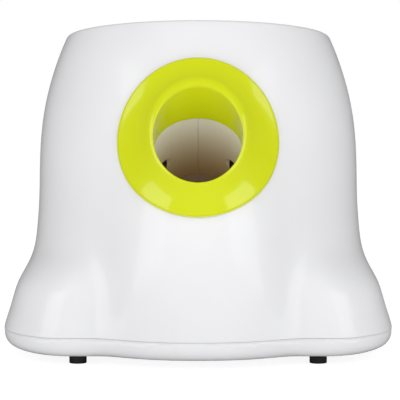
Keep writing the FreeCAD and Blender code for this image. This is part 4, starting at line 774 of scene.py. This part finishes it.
def pale_floor():
    """A wide level floor, white to the camera but for the object's soft shadow."""
    half = 6.0
    level = -0.0002
    corners = [(-half, -half, level), (half, -half, level), (half, half, level), (-half, half, level)]
    mesh = bpy.data.meshes.new("floor")
    mesh.from_pydata(corners, [], [(0, 1, 2, 3)])
    floor = bpy.data.objects.new("floor", mesh)
    bpy.context.scene.collection.objects.link(floor)
    material = bpy.data.materials.new("pale_floor")
    material.use_nodes = True
    tree = material.node_tree
    shader = tree.nodes["Principled BSDF"]
    shader.inputs["Base Color"].default_value = (0.9, 0.9, 0.9, 1.0)
    shader.inputs["Roughness"].default_value = 0.9
    shader.inputs["Specular IOR Level"].default_value = 0.1
    glow = tree.nodes.new("ShaderNodeEmission")
    glow.inputs["Strength"].default_value = 1.2
    mix = tree.nodes.new("ShaderNodeMixShader")
    path = tree.nodes.new("ShaderNodeLightPath")
    # reflections see a darker floor, as under a studio table
    mirrored = tree.nodes.new("ShaderNodeBsdfDiffuse")
    mirrored.inputs["Color"].default_value = (0.3, 0.3, 0.3, 1.0)
    choice = tree.nodes.new("ShaderNodeMixShader")
    tree.links.new(path.outputs["Is Glossy Ray"], choice.inputs["Fac"])
    part = tree.nodes.new("ShaderNodeMath")
    part.operation = "MULTIPLY"
    part.inputs[1].default_value = 0.75
    tree.links.new(path.outputs["Is Camera Ray"], part.inputs[0])
    tree.links.new(part.outputs[0], mix.inputs["Fac"])
    tree.links.new(shader.outputs["BSDF"], mix.inputs[1])
    tree.links.new(glow.outputs["Emission"], mix.inputs[2])
    tree.links.new(mix.outputs["Shader"], choice.inputs[1])
    tree.links.new(mirrored.outputs["BSDF"], choice.inputs[2])
    tree.links.new(choice.outputs["Shader"], tree.nodes["Material Output"].inputs["Surface"])
    mesh.materials.append(material)


def soft_box(name, azimuth_deg, distance, width, height, centre_z, power, aim_z):
    """A rectangular lamp at an azimuth from the front, facing the object."""
    lamp = bpy.data.lights.new(name, "AREA")
    lamp.shape = "RECTANGLE"
    lamp.size = width
    lamp.size_y = height
    lamp.energy = power
    a = math.radians(azimuth_deg)
    obj = bpy.data.objects.new(name, lamp)
    place = np.array([distance * math.sin(a), -distance * math.cos(a), centre_z])
    obj.location = place
    obj.rotation_euler = Vector((-place[0], -place[1], aim_z - centre_z)).to_track_quat("-Z", "Y").to_euler()
    bpy.context.scene.collection.objects.link(obj)
    return obj


outside_light(1.0, 0.15, 0.5)
pale_floor()
for side_name, azimuth in (("left_box", -47.0), ("right_box", 47.0)):
    soft_box(side_name, azimuth, 1.6, 1.14, 1.25, 0.59, 6.4, 0.16)
top_box = soft_box("top_box", 0, 0.3, 1.2, 1.0, 1.7, 1.6, 0.1)
top_box.visible_glossy = False
low_fill = soft_box("low_fill", 0, 1.5, 1.6, 0.3, 0.16, 2.6, 0.05)
low_fill.visible_glossy = False
floor_fill = soft_box("floor_fill", 0, 0.55, 1.4, 0.6, 0.004, 1.3, 1.0)
floor_fill.rotation_euler = (math.pi, 0.0, 0.0)
floor_fill.visible_glossy = False
floor_fill.visible_camera = False

CAMERA_AT = (0.0012, -1.3, 0.209)
PITCH_DEG = 5.02
FOCAL_PIXELS = 1935.0
PICTURE_PIXELS = 400.0
SENSOR_MM = 36.0
camera_data = bpy.data.cameras.new("camera")
camera_data.sensor_width = SENSOR_MM
camera_data.lens = SENSOR_MM * FOCAL_PIXELS / PICTURE_PIXELS
camera = bpy.data.objects.new("camera", camera_data)
camera.location = CAMERA_AT
camera.rotation_euler = (math.radians(90.0 - PITCH_DEG), 0.0, 0.0)
bpy.context.scene.collection.objects.link(camera)
bpy.context.scene.camera = camera
bpy.context.scene.view_settings.view_transform = "Standard"
